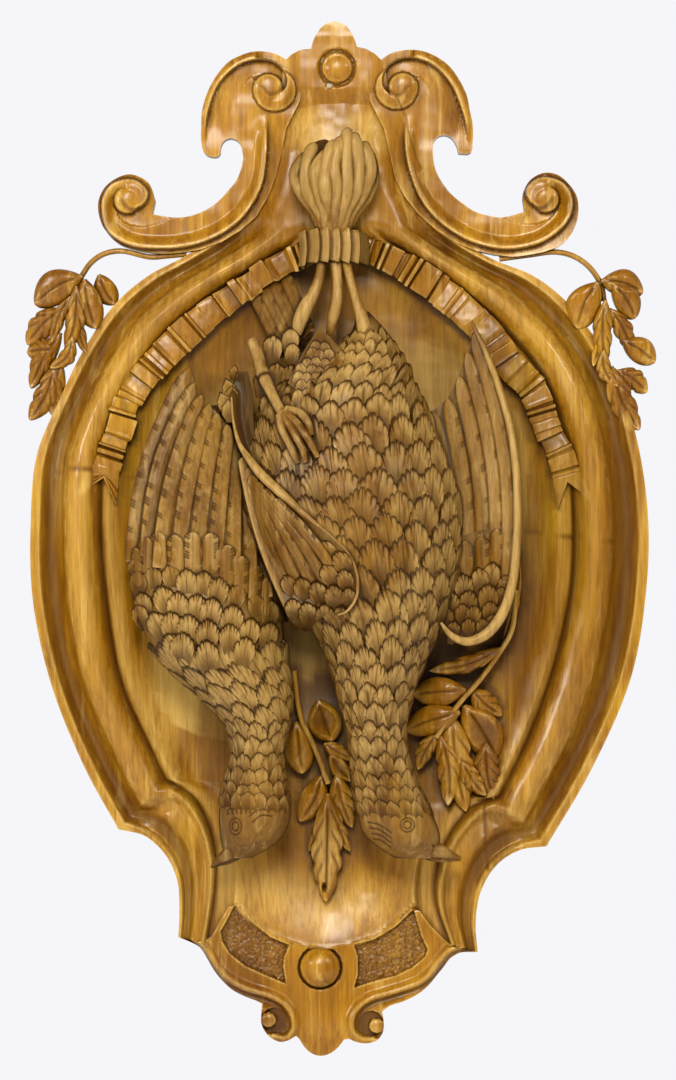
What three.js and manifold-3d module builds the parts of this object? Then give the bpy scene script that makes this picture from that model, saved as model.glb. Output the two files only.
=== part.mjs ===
// Carved wooden wall plaque: a cartouche backboard that carries an applied carving of two
// game birds, tied together by the feet and hung head down.
// Millimetres, +Z up. The back lies flat in the plane y = 0 and the front faces -Y.
// The origin is the centre of the back, where the plaque meets the wall.

import * as THREE from 'three';
import { mergeVertices } from 'three/addons/utils/BufferGeometryUtils.js';
import Module from 'manifold-3d';

const wasm = await Module();
wasm.setup();

// Driving dimensions
// Plan positions are read on a front drawing whose squares are GRID wide. Columns count to
// the right, rows count down, and the plaque is 622 columns wide and 1037 rows high.
const GRID = 0.625;
const CENTRE_COLUMN = 338;
const CENTRE_ROW = 538.5;

// Heights above the wall
const CROWN_HEIGHT = 27;
const CROWN_RIM_HEIGHT = 33;
const CROWN_RIM_WIDTH = 3.6;
const VOLUTE_LIFT = 6;
const VOLUTE_RIM_LIFT = 10;
const VOLUTE_EYE_HEIGHT = 39;
const TOP_BOSS_HEIGHT = 39;
const EDGE_HEIGHT = 26;
const COVE_HEIGHT = 19;
const TORUS_HEIGHT = 34.5;
const VALLEY_HEIGHT = 22.5;
const RIDGE_HEIGHT = 27.5;
const FIELD_HEIGHT = 14.5;
const NECK_HEIGHT = 36;
const FOOT_HEIGHT = 21;
const APRON_HEIGHT = 25.5;
const PANEL_HEIGHT = 20;
const FOOT_BOSS_HEIGHT = 33;
const SMALL_SCROLL_HEIGHT = 25;
const SMALL_EYE_HEIGHT = 29;
const RIBBON_HEIGHT = 31;
const RIBBON_FOLD = 4;
const RIBBON_BED = 10.5;
const STEM_HEIGHT = 24;
const SHOULDER_LEAF_BACK = 12;
const SHOULDER_LEAF_HEIGHT = 30;
const SHOULDER_LEAF_FALL = 5;
const SPRAY_STEM_HEIGHT = 32;
const SPRAY_LEAF_BACK = 10.5;
const SPRAY_LEAF_HEIGHT = 34;
const SPRAY_LEAF_FALL = 7;
const LEAF_VEIN = 2.5;
const SCREW_HOLE_DIAMETER = 3.2;
const SCREW_HOLE_DEPTH = 12;
const GLUE_GAP = 0.3;

// How far joined features run into the wood below them, and past a cut
const ROOT = 6;
const CLEARANCE = 2;

// Plan and section helpers
const lerp = THREE.MathUtils.lerp;
const SAME_SPOT = 0.01;

function plan([column, row]) {
  return new THREE.Vector2((column - CENTRE_COLUMN) * GRID, (CENTRE_ROW - row) * GRID);
}

// A smooth line through points of up to three numbers, with its steps even in length if asked.
function trace(points, steps, even = false) {
  const knots = points.map((point) => new THREE.Vector3(point[0], point[1], point[2] ?? 0));
  const curve = new THREE.CatmullRomCurve3(knots, false, 'centripetal');
  const spots = even ? curve.getSpacedPoints(steps) : curve.getPoints(steps);
  return spots.map((spot) => spot.toArray());
}

// One closed outline from runs of [points, steps]. A run without steps keeps its points.
function outlineOf(...runs) {
  const points = [];
  for (const [knots, steps] of runs) {
    const run = steps ? trace(knots, steps) : knots;
    const last = points.at(-1);
    const joined = last && Math.hypot(run[0][0] - last[0], run[0][1] - last[1]) < SAME_SPOT;
    points.push(...run.slice(joined ? 1 : 0));
  }
  return points;
}

// Solids
function toSolid(geometry) {
  geometry.deleteAttribute('normal');
  geometry.deleteAttribute('uv');
  const merged = mergeVertices(geometry, 1e-4);
  const mesh = new wasm.Mesh({
    numProp: 3,
    vertProperties: new Float32Array(merged.attributes.position.array),
    triVerts: new Uint32Array(merged.index.array),
  });
  return new wasm.Manifold(mesh);
}

function solidOf(vertices, triangles) {
  const geometry = new THREE.BufferGeometry();
  geometry.setAttribute('position', new THREE.Float32BufferAttribute(vertices.flat(), 3));
  geometry.setIndex(triangles.flat());
  const probe = geometry.toNonIndexed().attributes.position.array;
  let volume = 0;
  for (let i = 0; i < probe.length; i += 9) {
    const [ax, ay, az, bx, by, bz, cx, cy, cz] = probe.slice(i, i + 9);
    volume += ax * (by * cz - bz * cy) + ay * (bz * cx - bx * cz) + az * (bx * cy - by * cx);
  }
  if (volume < 0) {
    geometry.setIndex(triangles.map(([a, b, c]) => [a, c, b]).flat());
  }
  return toSolid(geometry);
}

// A flat plate of the given outline, from one height above the wall to another.
function plate(outline, low, high) {
  const shape = new THREE.Shape(outline.map(plan));
  const geometry = new THREE.ExtrudeGeometry(shape, { depth: high - low, bevelEnabled: false });
  geometry.translate(0, 0, low);
  geometry.rotateX(Math.PI / 2);
  return toSolid(geometry);
}

// A block with a carved front: rows of [column, row, height], and a flat back at one height.
function relief(rows, back) {
  const across = rows[0].length;
  const vertices = [];
  const triangles = [];
  for (const line of rows) {
    for (const [column, row, height] of line) {
      const spot = plan([column, row]);
      vertices.push([spot.x, -height, spot.y]);
    }
  }
  for (let i = 0; i + 1 < rows.length; i += 1) {
    for (let j = 0; j + 1 < across; j += 1) {
      const corner = i * across + j;
      triangles.push([corner, corner + across, corner + 1]);
      triangles.push([corner + 1, corner + across, corner + across + 1]);
    }
  }
  const rim = [];
  for (let j = 0; j < across; j += 1) rim.push(j);
  for (let i = 1; i < rows.length; i += 1) rim.push(i * across + across - 1);
  for (let j = across - 2; j >= 0; j -= 1) rim.push((rows.length - 1) * across + j);
  for (let i = rows.length - 2; i > 0; i -= 1) rim.push(i * across);
  const base = vertices.length;
  for (const index of rim) vertices.push([vertices[index][0], -back, vertices[index][2]]);
  for (let k = 0; k < rim.length; k += 1) {
    const next = (k + 1) % rim.length;
    triangles.push([rim[k], rim[next], base + k]);
    triangles.push([rim[next], base + next, base + k]);
  }
  const edge = rim.map((index) => new THREE.Vector2(vertices[index][0], vertices[index][2]));
  const clockwise = THREE.ShapeUtils.isClockWise(edge);
  for (const [a, b, c] of THREE.ShapeUtils.triangulateShape(edge, [])) {
    triangles.push(clockwise ? [base + a, base + c, base + b] : [base + a, base + b, base + c]);
  }
  return solidOf(vertices, triangles);
}

// A closed body through rings of points, each closed to its own middle at the two ends.
function loft(rings) {
  const around = rings[0].length;
  const vertices = rings.flat();
  const triangles = [];
  for (let i = 0; i + 1 < rings.length; i += 1) {
    for (let j = 0; j < around; j += 1) {
      const next = (j + 1) % around;
      const low = i * around;
      triangles.push([low + j, low + next, low + around + j]);
      triangles.push([low + next, low + around + next, low + around + j]);
    }
  }
  for (const [ring, first] of [[rings[0], 0], [rings.at(-1), (rings.length - 1) * around]]) {
    const middle = [0, 1, 2].map((axis) => ring.reduce((sum, p) => sum + p[axis], 0) / around);
    vertices.push(middle);
    for (let j = 0; j < around; j += 1) {
      const next = (j + 1) % around;
      const fan = [first + next, first + j, vertices.length - 1];
      triangles.push(first === 0 ? fan : fan.reverse());
    }
  }
  return solidOf(vertices, triangles);
}

// A bar of constant or changing section that follows a line on the drawing. The section is
// a closed list of [offset, height], worked out for each place along the line.
function bar(line, section) {
  const spots = line.map(plan);
  const rings = spots.map((spot, i) => {
    const before = spots[Math.max(i - 1, 0)];
    const after = spots[Math.min(i + 1, spots.length - 1)];
    const side = after.clone().sub(before).normalize();
    return section(i / (spots.length - 1), line[i][2]).map(([offset, height]) => [
      spot.x - side.y * offset,
      -height,
      spot.y + side.x * offset,
    ]);
  });
  return loft(rings);
}

// A low cushion, round or oval, that stands on a given height.
function boss(centre, halfWidth, halfLength, low, high, sides = 9, levels = 2) {
  const middle = plan(centre);
  const rings = [];
  for (let level = 0; level <= levels; level += 1) {
    const climb = (level / (levels + 0.6)) * (Math.PI / 2);
    const ring = [];
    for (let k = 0; k < sides; k += 1) {
      const angle = (k / sides) * 2 * Math.PI;
      ring.push([
        middle.x + halfWidth * GRID * Math.cos(climb) * Math.cos(angle),
        -lerp(low, high, Math.sin(climb)),
        middle.y + halfLength * GRID * Math.cos(climb) * Math.sin(angle),
      ]);
    }
    rings.push(ring);
  }
  const foot = rings[0].map(([x, , z]) => [x, -(low - ROOT), z]);
  return loft([foot, ...rings]);
}

function disc(centre, radius, low, high, sides = 16) {
  const ring = [];
  for (let k = 0; k < sides; k += 1) {
    const angle = (k / sides) * 2 * Math.PI;
    ring.push([centre[0] + radius * Math.cos(angle), centre[1] + radius * Math.sin(angle)]);
  }
  return plate(ring, low, high);
}

// A leaf lobe: pointed at both ends, widest part way along, with a vein groove down its
// middle and its tip falling away to its own height.
const BROAD_LEAF = 16;

function leaf(foot, tip, halfWidth, low, high, tipHeight, bend) {
  const steps = halfWidth > BROAD_LEAF ? 3 : 2;
  const along = [tip[0] - foot[0], tip[1] - foot[1]];
  const length = Math.hypot(...along);
  const side = [-along[1] / length, along[0] / length];
  const rows = [];
  for (let i = 0; i <= steps; i += 1) {
    const t = i / steps;
    const half = halfWidth * Math.max(Math.sin(Math.PI * (0.12 + 0.84 * t)) ** 0.8, 0.08);
    const sway = bend * Math.sin(Math.PI * t);
    const top = lerp(high, tipHeight, t * t);
    const middle = [0, 1].map((axis) => foot[axis] + along[axis] * t + side[axis] * sway);
    rows.push([-1, 0, 1].map((u) => [
      middle[0] + side[0] * half * u,
      middle[1] + side[1] * half * u,
      u === 0 ? top - LEAF_VEIN : top,
    ]));
  }
  return relief(rows, low);
}

// Backboard: body with its mouldings
// Every station gives the edge and the inner valley on the left and on the right, and which
// section the moulding has there: neck, side, base or foot.
const SECTIONS = {
  neck: [
    [0, CROWN_HEIGHT - 3], [0.13, CROWN_HEIGHT - 3], [0.18, CROWN_HEIGHT - 2.5],
    [0.3, CROWN_HEIGHT - 1.5], [0.42, CROWN_HEIGHT + 1], [0.55, NECK_HEIGHT - 5],
    [0.7, NECK_HEIGHT - 3], [0.88, NECK_HEIGHT - 1], [1, NECK_HEIGHT],
  ],
  side: [
    [0, EDGE_HEIGHT], [0.13, EDGE_HEIGHT + 1], [0.18, EDGE_HEIGHT - 4], [0.3, COVE_HEIGHT],
    [0.42, COVE_HEIGHT + 4], [0.52, TORUS_HEIGHT - 4], [0.7, TORUS_HEIGHT],
    [0.9, TORUS_HEIGHT - 4], [1, VALLEY_HEIGHT],
  ],
  base: [
    [0, EDGE_HEIGHT], [0.08, EDGE_HEIGHT], [0.15, EDGE_HEIGHT - 4], [0.3, EDGE_HEIGHT - 4],
    [0.48, EDGE_HEIGHT + 1], [0.6, EDGE_HEIGHT], [0.72, EDGE_HEIGHT - 1],
    [0.86, EDGE_HEIGHT + 5], [1, VALLEY_HEIGHT],
  ],
  foot: [
    [0, EDGE_HEIGHT - 2], [0.2, EDGE_HEIGHT + 1], [0.4, EDGE_HEIGHT + 1.5], [0.55, EDGE_HEIGHT + 1.5],
    [0.7, EDGE_HEIGHT + 1], [0.8, EDGE_HEIGHT], [0.88, EDGE_HEIGHT - 1], [0.94, EDGE_HEIGHT - 2],
    [1, EDGE_HEIGHT - 3],
  ],
};

// Heights at the ridge offsets from the valley, then part way to the middle and at the middle
const FIELD = {
  neck: [NECK_HEIGHT, NECK_HEIGHT, NECK_HEIGHT, NECK_HEIGHT, NECK_HEIGHT + 1],
  side: [RIDGE_HEIGHT, RIDGE_HEIGHT - 2, FIELD_HEIGHT + 6, FIELD_HEIGHT + 1, FIELD_HEIGHT],
  base: [VALLEY_HEIGHT - 1, VALLEY_HEIGHT - 2, FIELD_HEIGHT + 5, FIELD_HEIGHT + 3, FIELD_HEIGHT + 3],
  foot: [
    APRON_HEIGHT - 2.4, APRON_HEIGHT - 2.8, APRON_HEIGHT - 3.2, APRON_HEIGHT - 3.6,
    APRON_HEIGHT - 3.6,
  ],
};
const RIDGE_OFFSETS = [8, 17, 36];
const FIELD_PARTS = [0.3, 0.5, 0.7];
const NARROW_FIELD = 150;

const RUNS = [
  {
    steps: 14,
    stations: [
      [[290, 60], [330, 60], [344, 60], [385, 60], 'neck'],
      [[276, 92], [330, 95], [344, 95], [398, 92], 'neck'],
      [[266, 128], [330, 130], [344, 130], [405, 128], 'neck'],
      [[262, 165], [326, 170], [350, 170], [408, 165], 'neck'],
      [[246, 207], [308, 226], [368, 222], [422, 205], 'neck'],
      [[212, 238], [270, 258], [405, 252], [455, 236], 'side'],
      [[180, 258], [235, 279], [440, 275], [492, 258], 'side'],
      [[148, 275], [200, 304], [482, 308], [535, 276], 'side'],
      [[115, 303], [163, 337], [517, 343], [568, 302], 'side'],
      [[85, 346], [137, 375], [540, 372], [597, 340], 'side'],
      [[57, 403], [114, 415], [558, 412], [622, 388], 'side'],
      [[36, 455], [103, 458], [569, 455], [640, 450], 'side'],
      [[30, 520], [100, 520], [574, 520], [649, 520], 'side'],
      [[32, 600], [106, 600], [571, 590], [647, 590], 'side'],
      [[50, 683], [121, 683], [552, 675], [632, 677], 'side'],
      [[84, 768], [147, 742], [527, 742], [592, 770], 'side'],
      [[118, 830], [165, 780], [500, 797], [547, 847], 'side'],
    ],
  },
  {
    steps: 5,
    stations: [
      [[118, 830], [165, 780], [500, 797], [547, 847], 'side'],
      [[145, 837], [192, 796], [474, 806], [520, 851], 'base'],
      [[166, 857], [209, 826], [451, 832], [497, 866], 'base'],
      [[177, 882], [216, 862], [438, 864], [481, 893], 'base'],
      [[179, 912], [214, 900], [435, 900], [476, 925], 'base'],
      [[178, 938], [207, 944], [449, 944], [478, 953], 'base'],
    ],
  },
  {
    steps: 4,
    stations: [
      [[178, 938], [207, 944], [449, 944], [478, 953], 'base'],
      [[200, 949], [216, 962], [434, 954], [456, 955], 'foot'],
      [[214, 972], [229, 980], [422, 970], [441, 972], 'foot'],
      [[235, 993], [252, 991], [400, 984], [423, 992], 'foot'],
      [[262, 1005], [277, 1000], [374, 994], [392, 1006], 'foot'],
      [[290, 1022], [296, 1016], [352, 1014], [362, 1024], 'foot'],
    ],
  },
];

function boardRow([edgeLeft, valleyLeft, valleyRight, edgeRight, weights]) {
  const blend = (pick) => Object.entries(weights)
    .reduce((sum, [name, weight]) => sum + weight * pick(name), 0);
  const between = (from, to, part, height) => [
    lerp(from[0], to[0], part), lerp(from[1], to[1], part), height,
  ];
  const moulding = (edge, valley) => SECTIONS.side.map((_, k) => between(
    edge,
    valley,
    blend((name) => SECTIONS[name][k][0]),
    blend((name) => SECTIONS[name][k][1]),
  ));
  const width = valleyRight[0] - valleyLeft[0];
  const reach = Math.min(1, width / NARROW_FIELD);
  const ridge = (from, to) => RIDGE_OFFSETS.map((offset, k) => (
    between(from, to, (offset * reach) / width, blend((name) => FIELD[name][k]))));
  const middle = FIELD_PARTS.map((part, k) => (
    between(valleyLeft, valleyRight, part, blend((name) => FIELD[name][k === 1 ? 4 : 3]))));
  return [
    ...moulding(edgeLeft, valleyLeft),
    ...ridge(valleyLeft, valleyRight),
    ...middle,
    ...ridge(valleyRight, valleyLeft).reverse(),
    ...moulding(edgeRight, valleyRight).reverse(),
  ];
}

function boardRows() {
  const rows = [];
  for (const { stations, steps } of RUNS) {
    const lines = [0, 1, 2, 3].map((k) => {
      const knots = stations.map((station) => new THREE.Vector3(...station[k], 0));
      return new THREE.CatmullRomCurve3(knots, false, 'centripetal');
    });
    for (let i = rows.length ? 1 : 0; i <= steps; i += 1) {
      const t = i / steps;
      const place = t * (stations.length - 1);
      const index = Math.min(Math.floor(place), stations.length - 2);
      const share = place - index;
      const weights = {};
      const from = stations[index][4];
      const to = stations[index + 1][4];
      weights[from] = 1 - share;
      weights[to] = (weights[to] ?? 0) + share;
      const spots = lines.map((line) => line.getPoint(t).toArray());
      rows.push(boardRow([...spots, weights]));
    }
  }
  return rows;
}

// Backboard: crown with its C-scrolls
const CROWN_LOBE = [[311, 48], [314, 38], [322, 26], [334, 20.5], [346, 25], [353, 35], [357, 46]];
const LOBE_SHOULDER_RIGHT = [[366, 48], [375, 53], [381, 59]];
const LOBE_SHOULDER_LEFT = [[291, 54], [300, 49]];
const UPPER_SCROLL_LEFT = [
  [287, 59], [276, 53], [262, 50.5], [240, 55], [220, 70], [206, 95], [201, 125], [203, 150],
];
const NOTCH_LEFT = [[220, 153], [223, 141], [231, 137.5], [240, 143], [243, 158]];
const BAY_LEFT = [[243, 158], [236, 180], [220, 199], [195, 214], [168, 216.5], [152, 213.5]];
const VOLUTE_LEFT = [
  [155, 200], [147, 181], [130, 173.5], [111, 181], [99, 198], [101, 222], [120, 244],
  [150, 252], [180, 252],
];
const UPPER_SCROLL_RIGHT = [
  [381, 59], [392, 52], [408, 49], [430, 52.5], [450, 66], [465, 90], [472, 120], [471, 152],
];
const NOTCH_RIGHT = [[459, 152.5], [454, 140], [445, 134], [436, 138], [433, 150], [434, 162]];
const BAY_RIGHT = [[434, 162], [443, 183], [463, 203], [488, 215], [510, 216], [525, 211]];
const VOLUTE_RIGHT = [
  [523, 197], [528, 181], [545, 172], [564, 177], [578, 196], [576, 224], [560, 245],
  [530, 254], [505, 256],
];

const CROWN_BASE = [[470, 262], [200, 262]];

function crownPlate() {
  const outline = outlineOf(
    [CROWN_LOBE, 10],
    [LOBE_SHOULDER_RIGHT, 0],
    [UPPER_SCROLL_RIGHT, 11],
    [NOTCH_RIGHT, 6],
    [BAY_RIGHT, 7],
    [VOLUTE_RIGHT, 13],
    [CROWN_BASE, 0],
    [[...VOLUTE_LEFT].reverse(), 13],
    [[...BAY_LEFT].reverse(), 7],
    [[...NOTCH_LEFT].reverse(), 6],
    [[...UPPER_SCROLL_LEFT].reverse(), 11],
    [LOBE_SHOULDER_LEFT, 0],
  );
  return plate(outline, 0, CROWN_HEIGHT);
}

// The raised fillets that line the scrolls and curl into the volutes.
const FILLETS = [
  { line: [[284, 64], [262, 58], [240, 62], [218, 82], [207, 110], [205, 148]], steps: 5 },
  {
    line: [
      [137, 207], [141, 196], [131, 182], [113, 187], [104, 205], [112, 233], [135, 246], [160, 248],
      [195, 243], [230, 226], [255, 200], [265, 165], [266, 128],
    ],
    steps: 14,
  },
  { line: [[384, 65], [400, 57], [425, 60], [450, 80], [463, 110], [467, 148]], steps: 5 },
  {
    line: [
      [536, 206], [531, 194], [543, 180], [561, 185], [573, 203], [566, 229], [545, 247], [512, 249],
      [470, 240], [440, 221], [417, 190], [406, 155], [405, 128],
    ],
    steps: 14,
  },
];

const UPPER_VOLUTES = [
  { curl: [[262, 58], [280, 64], [288, 82], [281, 99], [266, 103]], centre: [274, 91], radius: 22 },
  { curl: [[412, 56], [394, 62], [384, 80], [391, 98], [407, 101]], centre: [397, 88], radius: 22 },
];
const UPPER_EYE_RADIUS = 13;
const LOWER_EYES = [[126, 202], [545, 199]];
const LOWER_EYE_RADIUS = 12;
const TOP_BOSS = [338, 69];
const TOP_BOSS_RADIUS = 18;
const RIM_TAPER = 0.6;

function rim(half, low, high) {
  return [[-half, low], [half, low], [half * RIM_TAPER, high], [-half * RIM_TAPER, high]];
}

function scrolls() {
  const half = CROWN_RIM_WIDTH / 2;
  const parts = FILLETS.map(({ line, steps }) => bar(
    trace(line, steps, true),
    () => rim(half, CROWN_HEIGHT - ROOT, CROWN_RIM_HEIGHT),
  ));
  for (const { curl, centre, radius } of UPPER_VOLUTES) {
    parts.push(disc(centre, radius, CROWN_HEIGHT - ROOT, CROWN_HEIGHT + VOLUTE_LIFT));
    parts.push(bar(
      trace(curl, 8, true),
      (t) => rim(lerp(2 * half, half, t), CROWN_HEIGHT, CROWN_HEIGHT + VOLUTE_RIM_LIFT),
    ));
    parts.push(boss(
      centre, UPPER_EYE_RADIUS, UPPER_EYE_RADIUS, CROWN_HEIGHT + VOLUTE_LIFT - 1, VOLUTE_EYE_HEIGHT,
    ));
  }
  for (const centre of LOWER_EYES) {
    parts.push(boss(centre, LOWER_EYE_RADIUS, LOWER_EYE_RADIUS, CROWN_HEIGHT, VOLUTE_EYE_HEIGHT));
  }
  parts.push(boss(
    TOP_BOSS, TOP_BOSS_RADIUS, TOP_BOSS_RADIUS, CROWN_HEIGHT + VOLUTE_LIFT, TOP_BOSS_HEIGHT,
  ));
  return parts;
}

// Backboard: foot with its apron, sunken panels and small scrolls
const FOOT_LEFT = [
  [178, 938], [200, 949], [214, 972], [235, 993], [262, 1005],
];
const FOOT_SCROLL_LEFT = [[262, 1005], [261, 1022], [268, 1037], [280, 1043], [294, 1038]];
const FOOT_LOBE = [[299, 1040], [308, 1053], [321, 1057.5], [335, 1052], [344, 1041]];
const FOOT_SCROLL_RIGHT = [[349, 1040], [362, 1045], [377, 1042], [384, 1028], [382, 1013]];
const FOOT_RIGHT = [[382, 1013], [405, 1002], [430, 985], [448, 962], [460, 954], [478, 953]];
const FOOT_TOP = [[440, 900], [215, 890]];
const APRON_BACK = 4;
const APRON = [
  [[[214, 946], [236, 903]], 0],
  [[
    [236, 903], [250, 920], [270, 937], [289, 946], [320, 949], [354, 946], [380, 937],
    [400, 922], [414, 908],
  ], 12],
  [[[437, 944]], 0],
  [[[432, 958], [400, 984], [368, 997], [352, 1012], [350, 1036]], 8],
  [[[340, 1048], [321, 1054], [304, 1047]], 0],
  [[[296, 1034], [291, 1015], [270, 997], [235, 984], [216, 962]], 8],
];
const PANEL_LEFT = [
  [236, 907], [250, 924], [270, 940], [288, 949], [284, 958], [283, 968], [286, 985],
  [265, 976], [230, 955], [221, 935],
];
const PANEL_RIGHT = [
  [414, 914], [397, 931], [376, 942], [355, 949], [358, 958], [358, 975], [354, 989],
  [382, 982], [425, 958], [427, 940],
];
const FOOT_BOSS = [320, 968.5];
const FOOT_BOSS_RADIUS = 19;
const FOOT_COLLAR_RADIUS = 24;
const SMALL_SCROLLS = [
  { centre: [274, 1025], radius: 12, eye: [269, 1023], eyeRadius: 6 },
  { centre: [371, 1027], radius: 13, eye: [376, 1028], eyeRadius: 7 },
];

function footPieces() {
  const outline = outlineOf(
    [FOOT_LEFT, 8], [FOOT_SCROLL_LEFT, 7], [FOOT_LOBE, 7], [FOOT_SCROLL_RIGHT, 7],
    [FOOT_RIGHT, 10], [FOOT_TOP, 0],
  );
  const collarTop = APRON_HEIGHT + 2;
  const parts = [
    plate(outline, 0, FOOT_HEIGHT),
    plate(outlineOf(...APRON), APRON_BACK, APRON_HEIGHT)
      .subtract(plate(PANEL_LEFT, PANEL_HEIGHT, APRON_HEIGHT + CLEARANCE))
      .subtract(plate(PANEL_RIGHT, PANEL_HEIGHT, APRON_HEIGHT + CLEARANCE)),
    disc(FOOT_BOSS, FOOT_COLLAR_RADIUS, APRON_HEIGHT - ROOT, collarTop),
    boss(FOOT_BOSS, FOOT_BOSS_RADIUS, FOOT_BOSS_RADIUS, collarTop - 1, FOOT_BOSS_HEIGHT),
  ];
  for (const { centre, radius, eye, eyeRadius } of SMALL_SCROLLS) {
    parts.push(disc(centre, radius, APRON_BACK, SMALL_SCROLL_HEIGHT, 12));
    parts.push(boss(eye, eyeRadius, eyeRadius, SMALL_SCROLL_HEIGHT, SMALL_EYE_HEIGHT, 8, 1));
  }
  return parts;
}

// Backboard: pleated ribbon
// Each streamer follows a line of [column, row, half width] from the knot to its end.
const STREAMERS = [
  {
    line: [
      [312, 253, 11], [285, 262, 12], [255, 281, 12], [208, 314, 14], [181, 337, 15], [153, 365, 14],
      [130, 396, 13], [118, 431, 13], [108, 461, 13], [101, 484, 15],
    ],
    tail: [[88, 476], [78, 503], [101, 488], [119, 512], [117, 477]],
  },
  {
    line: [
      [356, 249, 11], [390, 261, 13], [424, 281, 15], [459, 304, 15], [490, 337, 15], [511, 367, 15],
      [535, 393, 14], [549, 432, 13], [561, 458, 13], [570, 486, 13],
    ],
    tail: [[557, 482], [559, 510], [571, 490], [585, 503], [582, 477]],
  },
];

const RIBBON_FOLDS = 12;
const RIBBON_TWIST = 31;
const RIBBON_END_HEIGHT = 32.5;

function ribbon() {
  const parts = [];
  const steps = RIBBON_FOLDS * 2;
  for (const { line, tail } of STREAMERS) {
    parts.push(bar(trace(line, steps, true), (t, width) => {
      const half = width * GRID;
      const valley = Math.round(t * steps) % 2;
      const fold = valley ? 0 : RIBBON_FOLD * (0.55 + 0.45 * Math.sin(RIBBON_TWIST * t));
      const top = RIBBON_HEIGHT + fold;
      return [[-half, RIBBON_BED], [half, RIBBON_BED], [half, top - 1], [-half, top + 1]];
    }));
    parts.push(plate(tail, RIBBON_BED, RIBBON_END_HEIGHT));
  }
  return parts;
}

// Backboard: leaf sprays on the shoulders
const SHOULDER_SPRAYS = [
  {
    stem: [
      [186, 254], [150, 256], [120, 250], [103, 253], [90, 262], [79, 278], [73, 300], [64, 345],
      [52, 375],
    ],
    leaves: [
      [[80, 278], [34, 300], 18, 4], [[84, 278], [104, 326], 18, 4], [[72, 300], [83, 354], 8, 0],
      [[64, 322], [24, 340], 12, 3], [[58, 345], [25, 368], 11, 2],
      [[54, 366], [30, 390], 10, 3], [[52, 372], [28, 421], 13, -3], [[58, 362], [52, 414], 11, 2],
    ],
  },
  {
    stem: [
      [500, 260], [530, 254], [556, 251], [574, 256], [592, 270], [603, 290], [606, 330], [610, 368],
    ],
    leaves: [
      [[600, 284], [642, 300], 18, -3], [[598, 284], [574, 328], 18, 5], [[604, 318], [595, 364], 8, 0],
      [[604, 350], [616, 386], 9, 4], [[606, 306], [632, 352], 9, -2], [[614, 342], [657, 358], 13, -2],
      [[612, 362], [647, 388], 12, -3], [[612, 372], [643, 430], 15, 3],
    ],
  },
];

const STEM_WIDTH = 3.4;

function shoulderSprays() {
  const parts = [];
  for (const { stem, leaves } of SHOULDER_SPRAYS) {
    const section = rim(STEM_WIDTH / 2, STEM_HEIGHT - 10, STEM_HEIGHT);
    parts.push(bar(trace(stem, 10, true), () => section));
    leaves.forEach(([foot, tip, half, bend], k) => {
      const high = SHOULDER_LEAF_HEIGHT + (k % 3) * 2;
      parts.push(leaf(foot, tip, half, SHOULDER_LEAF_BACK, high, high - SHOULDER_LEAF_FALL, bend));
    });
  }
  return parts;
}

// Backboard: leaf sprays behind the birds' heads
const LOWER_SPRAYS = [
  {
    stem: [[294, 671], [301, 718], [316, 751], [330, 784], [328, 850], [327, 880]],
    leaves: [
      [[296, 722], [300, 776], 15, 0], [[318, 696], [332, 744], 17, 2],
      [[328, 746], [354, 776], 11, 0], [[318, 774], [298, 824], 14, -2],
      [[334, 782], [350, 830], 12, 2], [[326, 800], [327, 898], 26, 0],
    ],
  },
  {
    stem: [[512, 630], [507, 643], [459, 704], [436, 738], [426, 760]],
    leaves: [
      [[462, 690], [412, 694], 17, 0], [[456, 712], [406, 726], 16, 0],
      [[458, 706], [424, 764], 13, 3], [[456, 712], [457, 806], 22, -6],
      [[466, 700], [484, 752], 18, -3], [[500, 650], [428, 672], 9, -3],
      [[519, 556], [503, 650], 5, -5],
    ],
  },
];

function lowerSprays() {
  const parts = [];
  for (const { stem, leaves } of LOWER_SPRAYS) {
    const section = rim(STEM_WIDTH / 2, SPRAY_LEAF_BACK, SPRAY_STEM_HEIGHT);
    parts.push(bar(trace(stem, 5, true), () => section));
    leaves.forEach(([foot, tip, half, bend], k) => {
      const high = SPRAY_LEAF_HEIGHT + (k % 2) * 3;
      parts.push(leaf(foot, tip, half, SPRAY_LEAF_BACK, high, high - SPRAY_LEAF_FALL, bend));
    });
  }
  return parts;
}

// Blind screw holes on the centre line: where each is, and the height of its bottom
const SCREW_HOLES = [
  { centre: [329, 86], bottom: NECK_HEIGHT - SCREW_HOLE_DEPTH },
  { centre: [323, 888], bottom: FIELD_HEIGHT + 2 },
];

function backboard() {
  const pieces = [
    relief(boardRows(), 0), crownPlate(), ...scrolls(), ...footPieces(), ...ribbon(),
    ...shoulderSprays(), ...lowerSprays(),
  ];
  const radius = SCREW_HOLE_DIAMETER / 2 / GRID;
  let board = pieces.reduce((sum, piece) => sum.add(piece));
  for (const { centre, bottom } of SCREW_HOLES) {
    board = board.subtract(disc(centre, radius, bottom, TOP_BOSS_HEIGHT + CLEARANCE, 8));
  }
  return board;
}

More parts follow.
